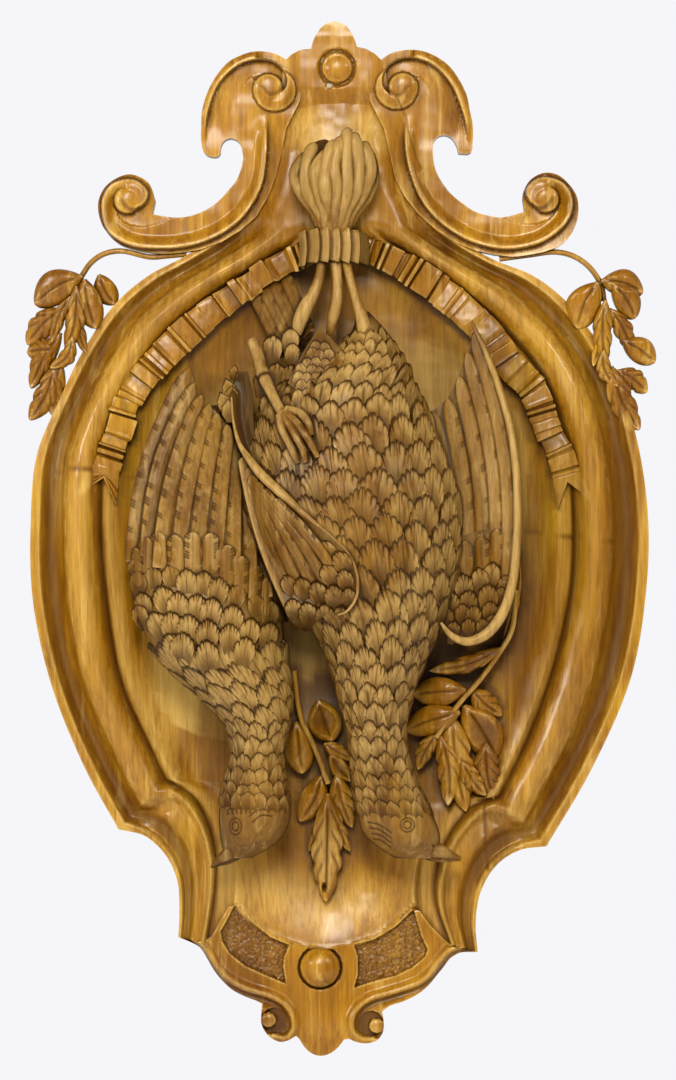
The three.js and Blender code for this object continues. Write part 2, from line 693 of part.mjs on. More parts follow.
// Birds: bodies
// Stations run down each bird, from tail to head: [column, row, half width, back, front].
const LEFT_BODY = [
  [222, 405, 10, 18, 40], [212, 440, 30, 12, 58], [206, 490, 54, 10, 72], [207, 550, 68, 10, 84],
  [210, 610, 72, 10, 92], [222, 655, 64, 14, 92], [243, 690, 48, 24, 88], [257, 722, 33, 34, 82],
  [258, 755, 26, 38, 76], [254, 788, 33, 36, 76], [254, 815, 37, 36, 76], [251, 838, 30, 40, 70],
  [241, 854, 12, 48, 60],
];
const RIGHT_BODY = [
  [356, 312, 9, 34, 52], [350, 345, 38, 14, 70], [342, 395, 72, 10, 88], [346, 450, 98, 10, 100],
  [352, 510, 106, 10, 108], [360, 565, 96, 10, 110], [374, 615, 68, 12, 104], [377, 655, 49, 24, 97],
  [375, 695, 36, 38, 92], [377, 735, 28, 44, 86], [383, 775, 31, 42, 84], [393, 808, 38, 40, 84],
  [402, 836, 38, 42, 80], [409, 855, 18, 50, 68],
];
// How many rows of feathers, where the smooth head starts, and how many feathers lie across
const LEFT_PLUMAGE = { rows: 8, smooth: 0.84, feathers: 6 };
const RIGHT_PLUMAGE = { rows: 10, smooth: 0.87, feathers: 6 };
const FIRST_FEATHERS = 0.06;
const FEATHER_STEP = 2.6;
const FEATHER_REACH = 0.013;
const HEAD_RINGS = 3;
const BACK_ANGLES = [1.3 * Math.PI, 1.7 * Math.PI];
const BEAKS = [
  [[238, 846, 10, 61], [224, 856, 6, 58], [211, 866, 1.5, 55]],
  [[424, 842, 12, 66], [442, 849, 8, 62], [461, 857, 1.5, 58]],
];
// Each eye's column, row, half width, half length and height
const EYES = [[236, 825, 5, 7, 71], [407, 823, 6, 6, 82]];
const EYE_RISE = 1.5;
const EYE_ROOT = 3;

function bodyStation(stations, t) {
  const place = t * (stations.length - 1);
  const index = Math.min(Math.floor(place), stations.length - 2);
  const at = (k) => stations[THREE.MathUtils.clamp(k, 0, stations.length - 1)];
  const share = place - index;
  return at(index).map((_, axis) => {
    const [a, b, c, d] = [-1, 0, 1, 2].map((k) => at(index + k)[axis]);
    const cubic = 2 * a - 5 * b + 4 * c - d + share * (3 * (b - c) + d - a);
    return b + 0.5 * share * (c - a + share * cubic);
  });
}

// Where a bird's front stands above the wall at a place on the drawing.
const SEARCH_STEP = 0.01;

function frontHeight(stations, column, row) {
  let t = 0;
  while (t < 1 && bodyStation(stations, t)[1] < row) t += SEARCH_STEP;
  const [centre, , half, back, front] = bodyStation(stations, Math.min(t, 1));
  const share = THREE.MathUtils.clamp((column - centre) / half, -1, 1);
  return lerp(back, front, 0.5 + 0.5 * Math.sqrt(1 - share * share));
}

// A bird's body. Its feathers lie like shingles with their round tips toward the tail: each
// row steps up at its tips and sinks toward the head, and the rows are staggered.
function body(stations, { rows, smooth, feathers }) {
  const angles = [];
  for (let k = 0; k <= feathers * 2; k += 1) angles.push((Math.PI * k) / (feathers * 2));
  angles.push(...BACK_ANGLES);
  const ring = (t, lift, stagger) => angles.map((angle, k) => {
    const feathered = lift !== 0 && angle <= Math.PI;
    const reach = feathered ? FEATHER_REACH * ((k + stagger) % 2 ? -1 : 1) : 0;
    const rise = feathered ? lift : 0;
    const at = THREE.MathUtils.clamp(t - reach, 0, 1);
    const [column, row, half, back, front] = bodyStation(stations, at);
    const centre = plan([column, row]);
    return [
      centre.x + (half * GRID + rise) * Math.cos(angle),
      -lerp(back, front, 0.5 + 0.5 * Math.sin(angle)) - rise * Math.sin(angle),
      centre.y,
    ];
  });
  const rings = [ring(0, 0, 0)];
  for (let i = 0; i < rows; i += 1) {
    const t = lerp(FIRST_FEATHERS, smooth, i / rows);
    rings.push(ring(t - FEATHER_REACH / 4, -FEATHER_STEP / 2, i));
    rings.push(ring(t + FEATHER_REACH / 4, FEATHER_STEP / 2, i));
  }
  for (let i = 0; i <= HEAD_RINGS; i += 1) rings.push(ring(lerp(smooth, 1, i / HEAD_RINGS), 0, 0));
  return loft(rings);
}

// A round limb through points of column, row, half width and height.
const LIMB_SIDES = 5;

function limb(points) {
  const rings = points.map(([column, row, half, height], i) => {
    const spot = plan([column, row]);
    const before = plan(points[Math.max(i - 1, 0)]);
    const after = plan(points[Math.min(i + 1, points.length - 1)]);
    const side = after.clone().sub(before).normalize();
    const ring = [];
    for (let k = 0; k < LIMB_SIDES; k += 1) {
      const angle = (k / LIMB_SIDES) * 2 * Math.PI;
      const across = half * GRID * Math.cos(angle);
      const out = height + half * GRID * Math.sin(angle);
      ring.push([spot.x - side.y * across, -out, spot.y + side.x * across]);
    }
    return ring;
  });
  return loft(rings);
}

// Birds: wings and tail
// A fan of long feathers: each quill runs from its foot to its tip, and grooves part them.
// Over a bird's body the fan lies on it, as thick as the wing.
const FEATHER_GROOVE = 2.6;
const FEATHER_NOTCH = 8;
const WING_THICKNESS = 5;

function featherFan(quills, steps, back, under = null) {
  const columns = [];
  const line = (from, to, sway, drop) => {
    const points = [];
    for (let i = 0; i <= steps; i += 1) {
      const t = i / steps;
      points.push([
        lerp(from[0], to[0], t) + sway * Math.sin(Math.PI * t),
        lerp(from[1], to[1], t),
        lerp(from[2], to[2], t) - drop,
      ]);
    }
    return points;
  };
  const middle = (a, b) => a.map((value, axis) => (value + b[axis]) / 2);
  quills.forEach(([foot, tip, bow], k) => {
    columns.push(line(foot, tip, bow, 0));
    if (k + 1 < quills.length) {
      const [nextFoot, nextTip, nextBow] = quills[k + 1];
      const end = middle(tip, nextTip);
      end[1] = Math.max(tip[1], nextTip[1]) + FEATHER_NOTCH;
      columns.push(line(middle(foot, nextFoot), end, (bow + nextBow) / 2, FEATHER_GROOVE));
    }
  });
  const rows = [];
  for (let i = 0; i <= steps; i += 1) {
    rows.push(columns.map((column, k) => {
      const [x, y, height] = column[i];
      const groove = k % 2 ? FEATHER_GROOVE : 0;
      const bed = under ? frontHeight(under, x, y) + WING_THICKNESS - groove : height;
      return [x, y, Math.max(height, bed)];
    }));
  }
  return relief(rows, back);
}

const LEFT_WING = [
  [[131, 560, 66], [189, 370, 42], -14], [[146, 548, 80], [194, 384, 46], -12],
  [[164, 542, 88], [201, 396, 50], -9], [[182, 541, 92], [209, 405, 54], -6],
  [[200, 542, 94], [217, 411, 56], -3], [[218, 545, 95], [225, 418, 56], 0],
  [[236, 552, 93], [230, 426, 54], 2], [[254, 562, 88], [235, 436, 50], 4],
  [[272, 574, 80], [238, 448, 46], 5],
];
const SPREAD_WING = [
  [[452, 560, 62], [434, 414, 46], 4], [[464, 548, 62], [447, 401, 46], 6],
  [[480, 542, 62], [458, 380, 46], 8], [[494, 546, 63], [466, 352, 46], 10],
  [[506, 556, 66], [474, 330, 46], 13], [[516, 566, 66], [481, 345, 44], 14],
];
const SPREAD_COVERTS = [
  [[446, 616, 72], [450, 560, 62], 2], [[456, 630, 70], [462, 544, 64], 4],
  [[470, 634, 68], [478, 538, 64], 6], [[484, 628, 66], [494, 541, 65], 8],
  [[496, 612, 66], [508, 552, 68], 8],
];
const SPREAD_WRIST = [
  [484, 350, 4, 46], [500, 392, 5, 52], [512, 430, 6, 58], [518, 490, 7, 62], [515, 555, 8, 64],
  [504, 606, 9, 66], [486, 636, 8, 68], [462, 638, 7, 72], [440, 622, 6, 78],
];
const NEAR_WING = [
  [[300, 652, 84], [246, 430, 58], -10], [[318, 636, 96], [241, 410, 60], 2],
  [[337, 622, 104], [237, 390, 62], 12], [[354, 598, 108], [233, 369, 60], 22],
];
const NEAR_WING_EDGE = [
  [235, 367, 3, 62], [233, 412, 4, 68], [258, 471, 6, 88], [304, 515, 7, 103],
  [350, 556, 7, 114], [356, 592, 6, 114], [337, 614, 4, 110],
];
const LEFT_TAIL = [
  [[292, 364, 48], [262, 300, 36], 0], [[300, 352, 48], [276, 290, 36], 0],
  [[306, 342, 48], [290, 280, 36], 0], [[312, 330, 48], [303, 272, 36], 0],
];

// Birds: tied feet
// The bundle's sections run up from the knot: [column, row, half width, back, front].
const FEET_SECTIONS = [
  [334, 236, 19, 30, 62], [333, 216, 23, 30, 64], [334, 196, 37, 30, 71], [335, 174, 43, 30, 73],
  [336, 152, 37, 30, 69], [340, 139, 24, 32, 62],
];
const TOES = 8;
const TOE_FLUTE = 0.14;
const TOE_NOTCH = 5;

function feetBundle() {
  const sides = TOES * 2;
  const rings = FEET_SECTIONS.map(([column, row, half, back, front], i) => {
    const notch = i < FEET_SECTIONS.length - 2 ? 0 : TOE_NOTCH;
    const centre = plan([column, row]);
    const ring = [];
    for (let k = 0; k < sides; k += 1) {
      const angle = (k / sides) * 2 * Math.PI;
      const flute = 1 - TOE_FLUTE * (k % 2);
      ring.push([
        centre.x + half * GRID * Math.cos(angle) * flute,
        -lerp(back, front, 0.5 + 0.5 * Math.sin(angle) * flute),
        centre.y - (k % 2) * notch,
      ]);
    }
    return ring;
  });
  return loft(rings);
}

// The ribbon's knot wraps the legs below the feet, pleated upright.
const KNOT_LEFT = 300;
const KNOT_RIGHT = 367;
const KNOT_PLEATS = 5;
const KNOT_PLEAT_DEPTH = 2.5;
const KNOT_SAG = 8;
const KNOT_BACK = 14;
const KNOT_SIDE_HEIGHT = 44;
const KNOT_ARCH = 22;
// Rows of the band, and how far its edges turn down
const KNOT_ROWS = [[230, 3], [234, 0], [256, 0], [261, 3]];

function knotBand() {
  const columns = KNOT_PLEATS * 2;
  const rows = KNOT_ROWS.map(([row, drop]) => {
    const line = [];
    for (let k = 0; k <= columns; k += 1) {
      const t = k / columns;
      const arch = Math.sin(Math.PI * t);
      const pleat = (k % 2) * KNOT_PLEAT_DEPTH;
      const height = KNOT_SIDE_HEIGHT + KNOT_ARCH * Math.sqrt(arch) - drop - pleat;
      line.push([lerp(KNOT_LEFT, KNOT_RIGHT, t), row + KNOT_SAG * (1 - arch), height]);
    }
    return line;
  });
  return relief(rows, KNOT_BACK);
}

// Birds: legs and thighs, each a line of [column, row, half width, height]
const LEGS = [
  [
    [322, 256, 5, 52], [320, 285, 5, 50], [314, 305, 6, 50], [303, 318, 10, 50], [290, 342, 16, 52],
    [284, 372, 14, 56],
  ],
  [[338, 256, 6, 56], [339, 288, 6, 58], [335, 310, 7, 60], [328, 329, 7, 60], [330, 350, 10, 60]],
  [[345, 254, 6, 56], [353, 285, 6, 58], [359, 308, 7, 62], [364, 340, 14, 66], [372, 380, 20, 76]],
  [[254, 342, 7, 62], [262, 366, 7, 68], [270, 388, 5, 74], [286, 418, 4, 84]],
  [[286, 414, 4, 84], [296, 438, 4, 90], [304, 460, 3, 95]],
  [[286, 414, 4, 84], [300, 434, 4, 92], [314, 456, 3, 98]],
  [[286, 414, 4, 84], [284, 438, 4, 88], [291, 462, 3, 93]],
];

// How far each fan of feathers runs back toward the board
const LEFT_WING_BACK = 20;
const SPREAD_WING_BACK = 18;
const COVERTS_BACK = 24;
const NEAR_WING_BACK = 30;
const TAIL_BACK = 12;

function birds() {
  const pieces = [
    body(LEFT_BODY, LEFT_PLUMAGE),
    body(RIGHT_BODY, RIGHT_PLUMAGE),
    ...BEAKS.map(limb),
    ...EYES.map(([column, row, width, length, height]) => (
      boss([column, row], width, length, height - EYE_ROOT, height + EYE_RISE, 8, 1))),
    featherFan(LEFT_WING, 4, LEFT_WING_BACK),
    featherFan(SPREAD_WING, 3, SPREAD_WING_BACK),
    featherFan(SPREAD_COVERTS, 2, COVERTS_BACK),
    limb(SPREAD_WRIST),
    featherFan(NEAR_WING, 5, NEAR_WING_BACK, RIGHT_BODY),
    limb(NEAR_WING_EDGE),
    featherFan(LEFT_TAIL, 1, TAIL_BACK),
    feetBundle(),
    knotBand(),
    ...LEGS.map(limb),
  ];
  return pieces.reduce((sum, piece) => sum.add(piece));
}

// The carving is bedded on the board, all round with the thickness of a glue line.
function bedOn(board, carving) {
  let bedded = carving;
  for (const shift of [[0, -1, 0], [1, 0, 0], [-1, 0, 0]]) {
    bedded = bedded.subtract(board.translate(shift.map((step) => step * GLUE_GAP)));
  }
  return bedded;
}

function toMesh(solid, name, { colour, roughness }) {
  const { vertProperties, triVerts, numProp } = solid.getMesh();
  const positions = [];
  for (let i = 0; i < vertProperties.length; i += numProp) {
    positions.push(vertProperties[i], vertProperties[i + 1], vertProperties[i + 2]);
  }
  const geometry = new THREE.BufferGeometry();
  geometry.setAttribute('position', new THREE.Float32BufferAttribute(positions, 3));
  geometry.setIndex([...triVerts]);
  geometry.computeVertexNormals();
  const material = new THREE.MeshStandardMaterial({ color: colour, roughness, metalness: 0 });
  const mesh = new THREE.Mesh(geometry, material);
  mesh.name = name;
  return mesh;
}

const GOLDEN_WOOD = { colour: '#a9772f', roughness: 0.45 };
const GREY_BROWN_WOOD = { colour: '#8f6c42', roughness: 0.6 };

const board = backboard();
const group = new THREE.Group();
group.add(toMesh(board, 'backboard', GOLDEN_WOOD));
group.add(toMesh(bedOn(board, birds()), 'game_birds', GREY_BROWN_WOOD));

export default group;
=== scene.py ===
import math

import bpy
import numpy as np
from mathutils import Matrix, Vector
from mathutils.geometry import delaunay_2d_cdt


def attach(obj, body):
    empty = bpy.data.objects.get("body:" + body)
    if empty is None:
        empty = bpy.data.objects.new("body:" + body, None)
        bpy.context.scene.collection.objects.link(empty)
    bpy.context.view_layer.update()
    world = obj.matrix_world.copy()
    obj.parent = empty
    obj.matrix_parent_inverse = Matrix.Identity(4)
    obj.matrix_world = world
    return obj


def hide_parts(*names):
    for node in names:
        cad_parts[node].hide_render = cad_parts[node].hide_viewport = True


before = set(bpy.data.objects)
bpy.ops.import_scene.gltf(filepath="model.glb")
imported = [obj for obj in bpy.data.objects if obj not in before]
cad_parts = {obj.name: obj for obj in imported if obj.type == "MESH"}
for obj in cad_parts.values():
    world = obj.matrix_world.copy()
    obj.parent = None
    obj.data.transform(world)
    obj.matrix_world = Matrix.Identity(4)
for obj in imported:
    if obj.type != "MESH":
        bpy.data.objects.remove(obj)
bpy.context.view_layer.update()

# Carved wooden wall plaque with two game birds.
# Plan positions are columns and rows of a front drawing whose squares are SQUARE millimetres wide.
# Heights above the wall are in millimetres too. Points are kept in millimetres, front to -Y.
SQUARE = 0.625
CENTRE_COLUMN = 338
CENTRE_ROW = 538.5
SHEET_COLUMNS = 680
SHEET_ROWS = 1080


# Curves and interpolation
def place(column, row, height):
    """Points in millimetres from columns, rows and heights."""
    column, row, height = np.broadcast_arrays(column, row, height)
    return np.stack([
        (column - CENTRE_COLUMN) * SQUARE, -np.asarray(height, float), (CENTRE_ROW - row) * SQUARE,
    ], -1)


def smooth(value, low, high):
    """A soft step from 0 at low to 1 at high."""
    t = np.clip((value - low) / (high - low), 0, 1)
    return t * t * (3 - 2 * t)


def lerp(a, b, t):
    """From a at 0 to b at 1."""
    return a + (b - a) * t


def bell(value, centre, width):
    """A bell of height 1 round a centre."""
    return np.exp(-((value - centre) / width) ** 2)


def rounded(count):
    """Places from -1 to 1 that lie closer together at the ends."""
    return np.sin(np.linspace(-1, 1, count) * math.pi / 2)[None]


def curve(points, count, even=True):
    """Points along a centripetal Catmull-Rom curve through the knots."""
    p = np.asarray(points, float)
    q = np.vstack([2 * p[0] - p[1], p, 2 * p[-1] - p[-2]])
    gap = np.maximum(np.linalg.norm(np.diff(q[:, :2], axis=0), axis=1), 1e-6) ** 0.5
    last = len(p) - 1

    def at(t):
        i = np.clip(np.floor(t).astype(int), 0, last - 1)
        w = (t - i)[:, None]
        p0, p1, p2, p3 = q[i], q[i + 1], q[i + 2], q[i + 3]
        d0, d1, d2 = gap[i][:, None], gap[i + 1][:, None], gap[i + 2][:, None]
        m1 = ((p1 - p0) / d0 - (p2 - p0) / (d0 + d1) + (p2 - p1) / d1) * d1
        m2 = ((p2 - p1) / d1 - (p3 - p1) / (d1 + d2) + (p3 - p2) / d2) * d1
        return p1 + w * (m1 + w * (3 * (p2 - p1) - 2 * m1 - m2 + w * (2 * (p1 - p2) + m1 + m2)))

    if not even:
        return at(np.linspace(0, last, count))
    steps = np.linspace(0, last, 40 * last + 1)
    fine = at(steps)
    length = np.concatenate([[0], np.cumsum(np.linalg.norm(np.diff(fine[:, :2], axis=0), axis=1))])
    return at(np.interp(np.linspace(0, length[-1], count), length, steps))


def profile(points, at):
    """A monotone cubic through (position, height) points."""
    x, y = np.asarray(points, float).T
    slope = np.diff(y) / np.diff(x)
    m = np.zeros(len(x))
    same = slope[1:] * slope[:-1] > 0
    m[1:-1][same] = 2 / (1 / slope[1:][same] + 1 / slope[:-1][same])
    m[0], m[-1] = slope[0], slope[-1]
    i = np.clip(np.searchsorted(x, at, side="right") - 1, 0, len(x) - 2)
    h = x[i + 1] - x[i]
    t = np.clip((at - x[i]) / h, 0, 1)
    return (
        y[i] * (1 + 2 * t) * (1 - t) ** 2 + y[i + 1] * t * t * (3 - 2 * t)
        + h * t * (1 - t) * (m[i] * (1 - t) - m[i + 1] * t)
    )


def ripple(column, row, size, seed):
    """Smooth noise between -1 and 1, with bumps about this many squares across."""
    table = np.random.RandomState(seed).uniform(-1, 1, (64, 64))
    u, v = np.asarray(column) / size + 31.7, np.asarray(row) / size + 17.3
    i, j = np.floor(u).astype(int), np.floor(v).astype(int)
    a, b = smooth(u - i, 0, 1), smooth(v - j, 0, 1)

    def at(x, y):
        return table[x % 64, y % 64]

    return lerp(lerp(at(i, j), at(i + 1, j), a), lerp(at(i, j + 1), at(i + 1, j + 1), a), b)


def inside(column, row, outline):
    """Whether each point lies in the closed outline."""
    poly = np.asarray(outline, float)
    hit = np.zeros(np.shape(column), bool)
    for (x0, y0), (x1, y1) in zip(poly, np.roll(poly, -1, 0)):
        if y0 != y1:
            cross = (y0 > row) != (y1 > row)
            hit ^= cross & (column < x0 + (row - y0) * (x1 - x0) / (y1 - y0))
    return hit


def away_from(column, row, spot):
    """Distance in squares from a spot, given by its column and row first."""
    return np.hypot(column - spot[0], row - spot[1])


def within_oval(column, row, centre, radii):
    """Distance from the centre of an oval, which is 1 on its edge."""
    return np.hypot((column - centre[0]) / radii[0], (row - centre[1]) / radii[1])


def beside(line, off, ahead=0):
    """Columns and rows at distances to the side of a line, and ahead along it."""
    step = np.gradient(line[:, :2], axis=0)
    step /= np.hypot(*step.T)[:, None]
    column = line[:, 0:1] - step[:, 1:2] * off + step[:, 0:1] * ahead
    row = line[:, 1:2] + step[:, 0:1] * off + step[:, 1:2] * ahead
    return column, row


def from_line(column, row, line):
    """Signed distance in squares from a line, positive on its left as drawn, and how far along."""
    column, row = np.asarray(column, float), np.asarray(row, float)
    best = np.full(column.shape, 1e9)
    sign = np.ones(column.shape)
    along = np.zeros(column.shape)
    line = np.asarray(line, float)[:, :2]
    for k, (a, b) in enumerate(zip(line[:-1], line[1:])):
        step = b - a
        t = np.clip(((column - a[0]) * step[0] + (row - a[1]) * step[1]) / (step @ step), 0, 1)
        dx, dy = column - a[0] - t * step[0], row - a[1] - t * step[1]
        far = np.hypot(dx, dy)
        near = far < best
        best = np.where(near, far, best)
        sign = np.where(near, np.where(step[0] * dy - step[1] * dx < 0, 1, -1), sign)
        along = np.where(near, (k + t) / (len(line) - 1), along)
    return best * sign, along


# Pieces
SHARP_ANGLE = 48
EDGE_GAP = 0.05


class Piece:
    """Gathers closed shells, in millimetres, that become one mesh.

    Each point also carries how dark its staining and painted shade are (cut), and how far wear and painted
    highlights make it paler, or painted shade makes it darker (tone).
    """

    def __init__(self, name, node, slot):
        self.name, self.node, self.slot = name, node, slot
        self.points, self.loops, self.sizes, self.cuts, self.tones = [], [], [], [], []
        self.count = 0

    def add(self, points, faces, cut, tone):
        points = np.asarray(points, float).reshape(-1, 3)
        self.points.append(points)
        self.cuts.append(np.broadcast_to(np.asarray(cut, float).ravel(), len(points)))
        self.tones.append(np.broadcast_to(np.asarray(tone, float).ravel(), len(points)))
        for face in faces:
            face = np.asarray(face, int) + self.count
            if face.ndim == 1:
                face = face[None]
            self.loops.append(face.ravel())
            self.sizes.append(np.full(len(face), face.shape[1]))
        self.count += len(points)

    def build(self, material):
        points = np.concatenate(self.points) / 1000
        loops, sizes = np.concatenate(self.loops), np.concatenate(self.sizes)
        mesh = bpy.data.meshes.new(self.name)
        mesh.vertices.add(len(points))
        mesh.vertices.foreach_set("co", points.astype(np.float32).ravel())
        mesh.loops.add(len(loops))
        mesh.loops.foreach_set("vertex_index", loops.astype(np.int32))
        mesh.polygons.add(len(sizes))
        starts = np.concatenate([[0], np.cumsum(sizes)[:-1]])
        mesh.polygons.foreach_set("loop_start", starts.astype(np.int32))
        mesh.update(calc_edges=True)
        mesh.materials.append(material)
        mesh.polygons.foreach_set("use_smooth", np.ones(len(mesh.polygons), bool))
        mesh.set_sharp_from_angle(angle=math.radians(SHARP_ANGLE))
        piece = bpy.data.objects.new(self.name, mesh)
        bpy.context.scene.collection.objects.link(piece)
        return piece


def lattice(rows, columns):
    """The quads of a grid of points."""
    i, j = np.meshgrid(np.arange(rows - 1), np.arange(columns - 1), indexing="ij")
    a = (i * columns + j).ravel()
    return np.stack([a, a + columns, a + columns + 1, a + 1], 1)


def rim_of(rows, columns):
    """The points round the rim of a grid, in order."""
    return np.concatenate([
        np.arange(columns), np.arange(1, rows) * columns + columns - 1,
        (rows - 1) * columns + np.arange(columns - 2, -1, -1), np.arange(rows - 2, 0, -1) * columns,
    ])


def add_relief(piece, front, low, cut=0.0, tone=0.0, side_cut=0.0):
    """A closed block with a front grid of points, walls and a back whose rim is at the low points."""
    rows, columns = front.shape[:2]
    points = front.reshape(-1, 3)
    rim = rim_of(rows, columns)
    if np.ndim(low) == 0:
        depth = low
        low = points[rim].copy()
        low[:, 1] = -depth
    base, n = len(points), len(rim)
    k = np.arange(n)
    after = (k + 1) % n
    side = np.stack([rim[k], rim[after], base + after, base + k], 1)
    faces = [lattice(rows, columns), side, (base + k)[::-1]]
    middle = (rows // 2) * columns + columns // 2
    a, b, c = points[middle], points[middle + 1], points[middle + columns]
    if np.cross(c - a, b - a)[1] > 0:
        faces = [face[..., ::-1] for face in faces]
    cuts = np.concatenate([np.broadcast_to(cut, (rows, columns)).ravel(), np.full(n, side_cut)])
    tones = np.concatenate([np.broadcast_to(tone, (rows, columns)).ravel(), np.zeros(n)])
    piece.add(np.vstack([points, low]), faces, cuts, tones)


def sunk(front, drop):
    """The rim of a front grid, moved back by a drop."""
    low = front.reshape(-1, 3)[rim_of(*front.shape[:2])].copy()
    low[:, 1] += drop
    return low


def add_tube(piece, rings, cut=0.0, tone=0.0):
    """A closed body through rings of points, of shape (rings, around, 3)."""
    rows, around = rings.shape[:2]
    i, j = np.meshgrid(np.arange(rows - 1), np.arange(around), indexing="ij")
    a, b = (i * around + j).ravel(), (i * around + (j + 1) % around).ravel()
    walls = np.stack([a, b, b + around, a + around], 1)
    faces = [walls, np.arange(around)[::-1], (rows - 1) * around + np.arange(around)]
    middle = rings.mean(1)
    k = rows // 2
    spine = middle[min(k + 1, rows - 1)] - middle[k - 1]
    ring = rings[k] - middle[k]
    if np.cross(ring, np.roll(ring, -1, 0)).sum(0) @ spine < 0:
        faces = [face[..., ::-1] for face in faces]
    marks = [np.broadcast_to(mark, (rows, around)) for mark in (cut, tone)]
    piece.add(rings, faces, *marks)


def add_plate(piece, outline, back, surface, pitch):
    """A plate of the outline, whose front height, stain and tone come from column and row."""
    outline = np.asarray(outline, float)
    low, high = outline.min(0), outline.max(0)
    columns = np.arange(low[0], high[0], pitch)
    rows = np.arange(low[1], high[1], pitch * 0.87)
    c, r = np.meshgrid(columns, rows)
    c = c + (np.arange(len(rows))[:, None] % 2) * pitch / 2
    c, r = c.ravel(), r.ravel()
    within = inside(c, r, outline)
    c, r = c[within], r[within]
    clear = np.abs(from_line(c, r, np.vstack([outline, outline[:1]]))[0]) > pitch * 0.5
    c, r = c[clear], r[clear]
    count = len(outline)
    flat = [tuple(p) for p in outline] + list(zip(c, r))
    edges = [(k, (k + 1) % count) for k in range(count)]
    verts, _, faces, origin, _, _ = delaunay_2d_cdt(flat, edges, [], 1, 1e-6)
    spots = np.array([(v.x, v.y) for v in verts])
    triangles = np.array([f for f in faces if len(f) == 3])
    ring = {}
    for k, source in enumerate(origin):
        for old in source:
            if old < count:
                ring[old] = k
    rim = np.array([ring[k] for k in range(count)])
    height, cut, tone = surface(spots[:, 0], spots[:, 1])
    front = place(spots[:, 0], spots[:, 1], height)
    bottom = front[rim].copy()
    bottom[:, 1] = -back
    a, b, c = (spots[triangles[0]][k] for k in range(3))
    if (b - a)[0] * (c - a)[1] - (b - a)[1] * (c - a)[0] > 0:
        triangles = triangles[:, ::-1]
    area = (outline[:, 0] * np.roll(outline[:, 1], -1) - np.roll(outline[:, 0], -1) * outline[:, 1]).sum()
    if area > 0:
        rim, bottom = rim[::-1], bottom[::-1]
    base = len(front)
    k = np.arange(count)
    after = (k + 1) % count
    side = np.stack([rim[after], rim[k], base + k, base + after], 1)
    marks = [np.concatenate([np.broadcast_to(mark, len(front)), np.zeros(count)]) for mark in (cut, tone)]
    piece.add(np.vstack([front, bottom]), [triangles, side, (base + k)[::-1]], *marks)


def outline_of(*runs):
    """One outline from runs of knots, each a curve of so many steps, or straight where that is 0."""
    points = []
    for knots, steps in runs:
        run = curve(knots, steps + 1) if steps else np.asarray(knots, float)
        for point in run:
            if not points or np.hypot(*(point - points[-1])) > EDGE_GAP:
                points.append(point)
    return np.array(points)


golden = {"node": "backboard", "slot": "golden_wood"}
grey = {"node": "game_birds", "slot": "grey_brown_wood"}

# Backboard: body with its mouldings. A section runs from the outer edge at 0 to the valley at 1, with
# heights. The field's heights are at FIELD_OFFSETS past the valley, then at FIELD_SHARES of its width.
SIDE_SECTION = [
    (0, 26), (0.12, 27), (0.18, 22), (0.28, 19), (0.42, 22.5), (0.52, 30.5), (0.7, 34.5), (0.9, 30.5),
    (1, 22.5),
]
SECTIONS = {
    "neck": [
        (0, 24), (0.13, 25.5), (0.18, 26.5), (0.3, 29.5), (0.42, 32.5), (0.55, 34.4), (0.7, 35.4),
        (0.88, 35.9), (1, 36),
    ],
    "side": SIDE_SECTION,
    "turn": SIDE_SECTION,
    "base": [
        (0, 26), (0.08, 26), (0.15, 22), (0.3, 22), (0.48, 27), (0.6, 26), (0.72, 25), (0.86, 31),
        (1, 22.5),
    ],
    "foot": [
        (0, 20), (0.2, 21), (0.4, 21.5), (0.55, 21.5), (0.7, 21.5), (0.8, 21.5), (0.88, 21.5),
        (0.94, 21.5), (1, 21.5),
    ],
}
FIELD = {
    "neck": [36, 36, 36, 36, 36, 36],
    "side": [22.5, 27.5, 25.5, 20.5, 15.5, 14.5],
    "turn": [22.5, 25.5, 22.5, 18.6, 17.1, 17.0],
    "base": [22.5, 21.5, 20.0, 18.2, 17.1, 17.0],
    "foot": [22, 22, 21, 21, 21, 21],
}
FIELD_OFFSETS = [0, 8, 17, 36]
FIELD_SHARES = [0.3, 0.5]
CARVED_SECTIONS = ("side", "turn", "base")

# Staining with painted shade in the coves and valley, and wear with painted highlights on the rims, torus
# and ridge, across the moulding from the edge to the valley, then in squares past the valley
MOULD_STAIN_AND_SHADE = [
    (0, 0), (0.14, 0.1), (0.2, 0.6), (0.32, 0.62), (0.42, 0.3), (0.55, 0.05), (0.9, 0.12), (0.96, 0.5),
    (1, 1),
]
MOULD_WEAR_AND_HIGHLIGHT = [
    (0, 0.1), (0.1, 0.35), (0.17, 0.1), (0.25, -0.4), (0.42, -0.3), (0.58, 0.35), (0.75, 0.5), (0.9, 0),
    (1, -0.3),
]
FIELD_STAIN_AND_SHADE = [(0, 1), (2.5, 0.4), (5, 0), (14, 0.05), (30, 0.25), (60, 0.32), (300, 0.3)]
FIELD_WEAR_AND_HIGHLIGHT = [(0, -0.3), (4, 0.8), (12, 0.8), (20, 0.1), (40, -0.3), (60, -0.35), (300, -0.3)]
NARROW_FIELD = 150

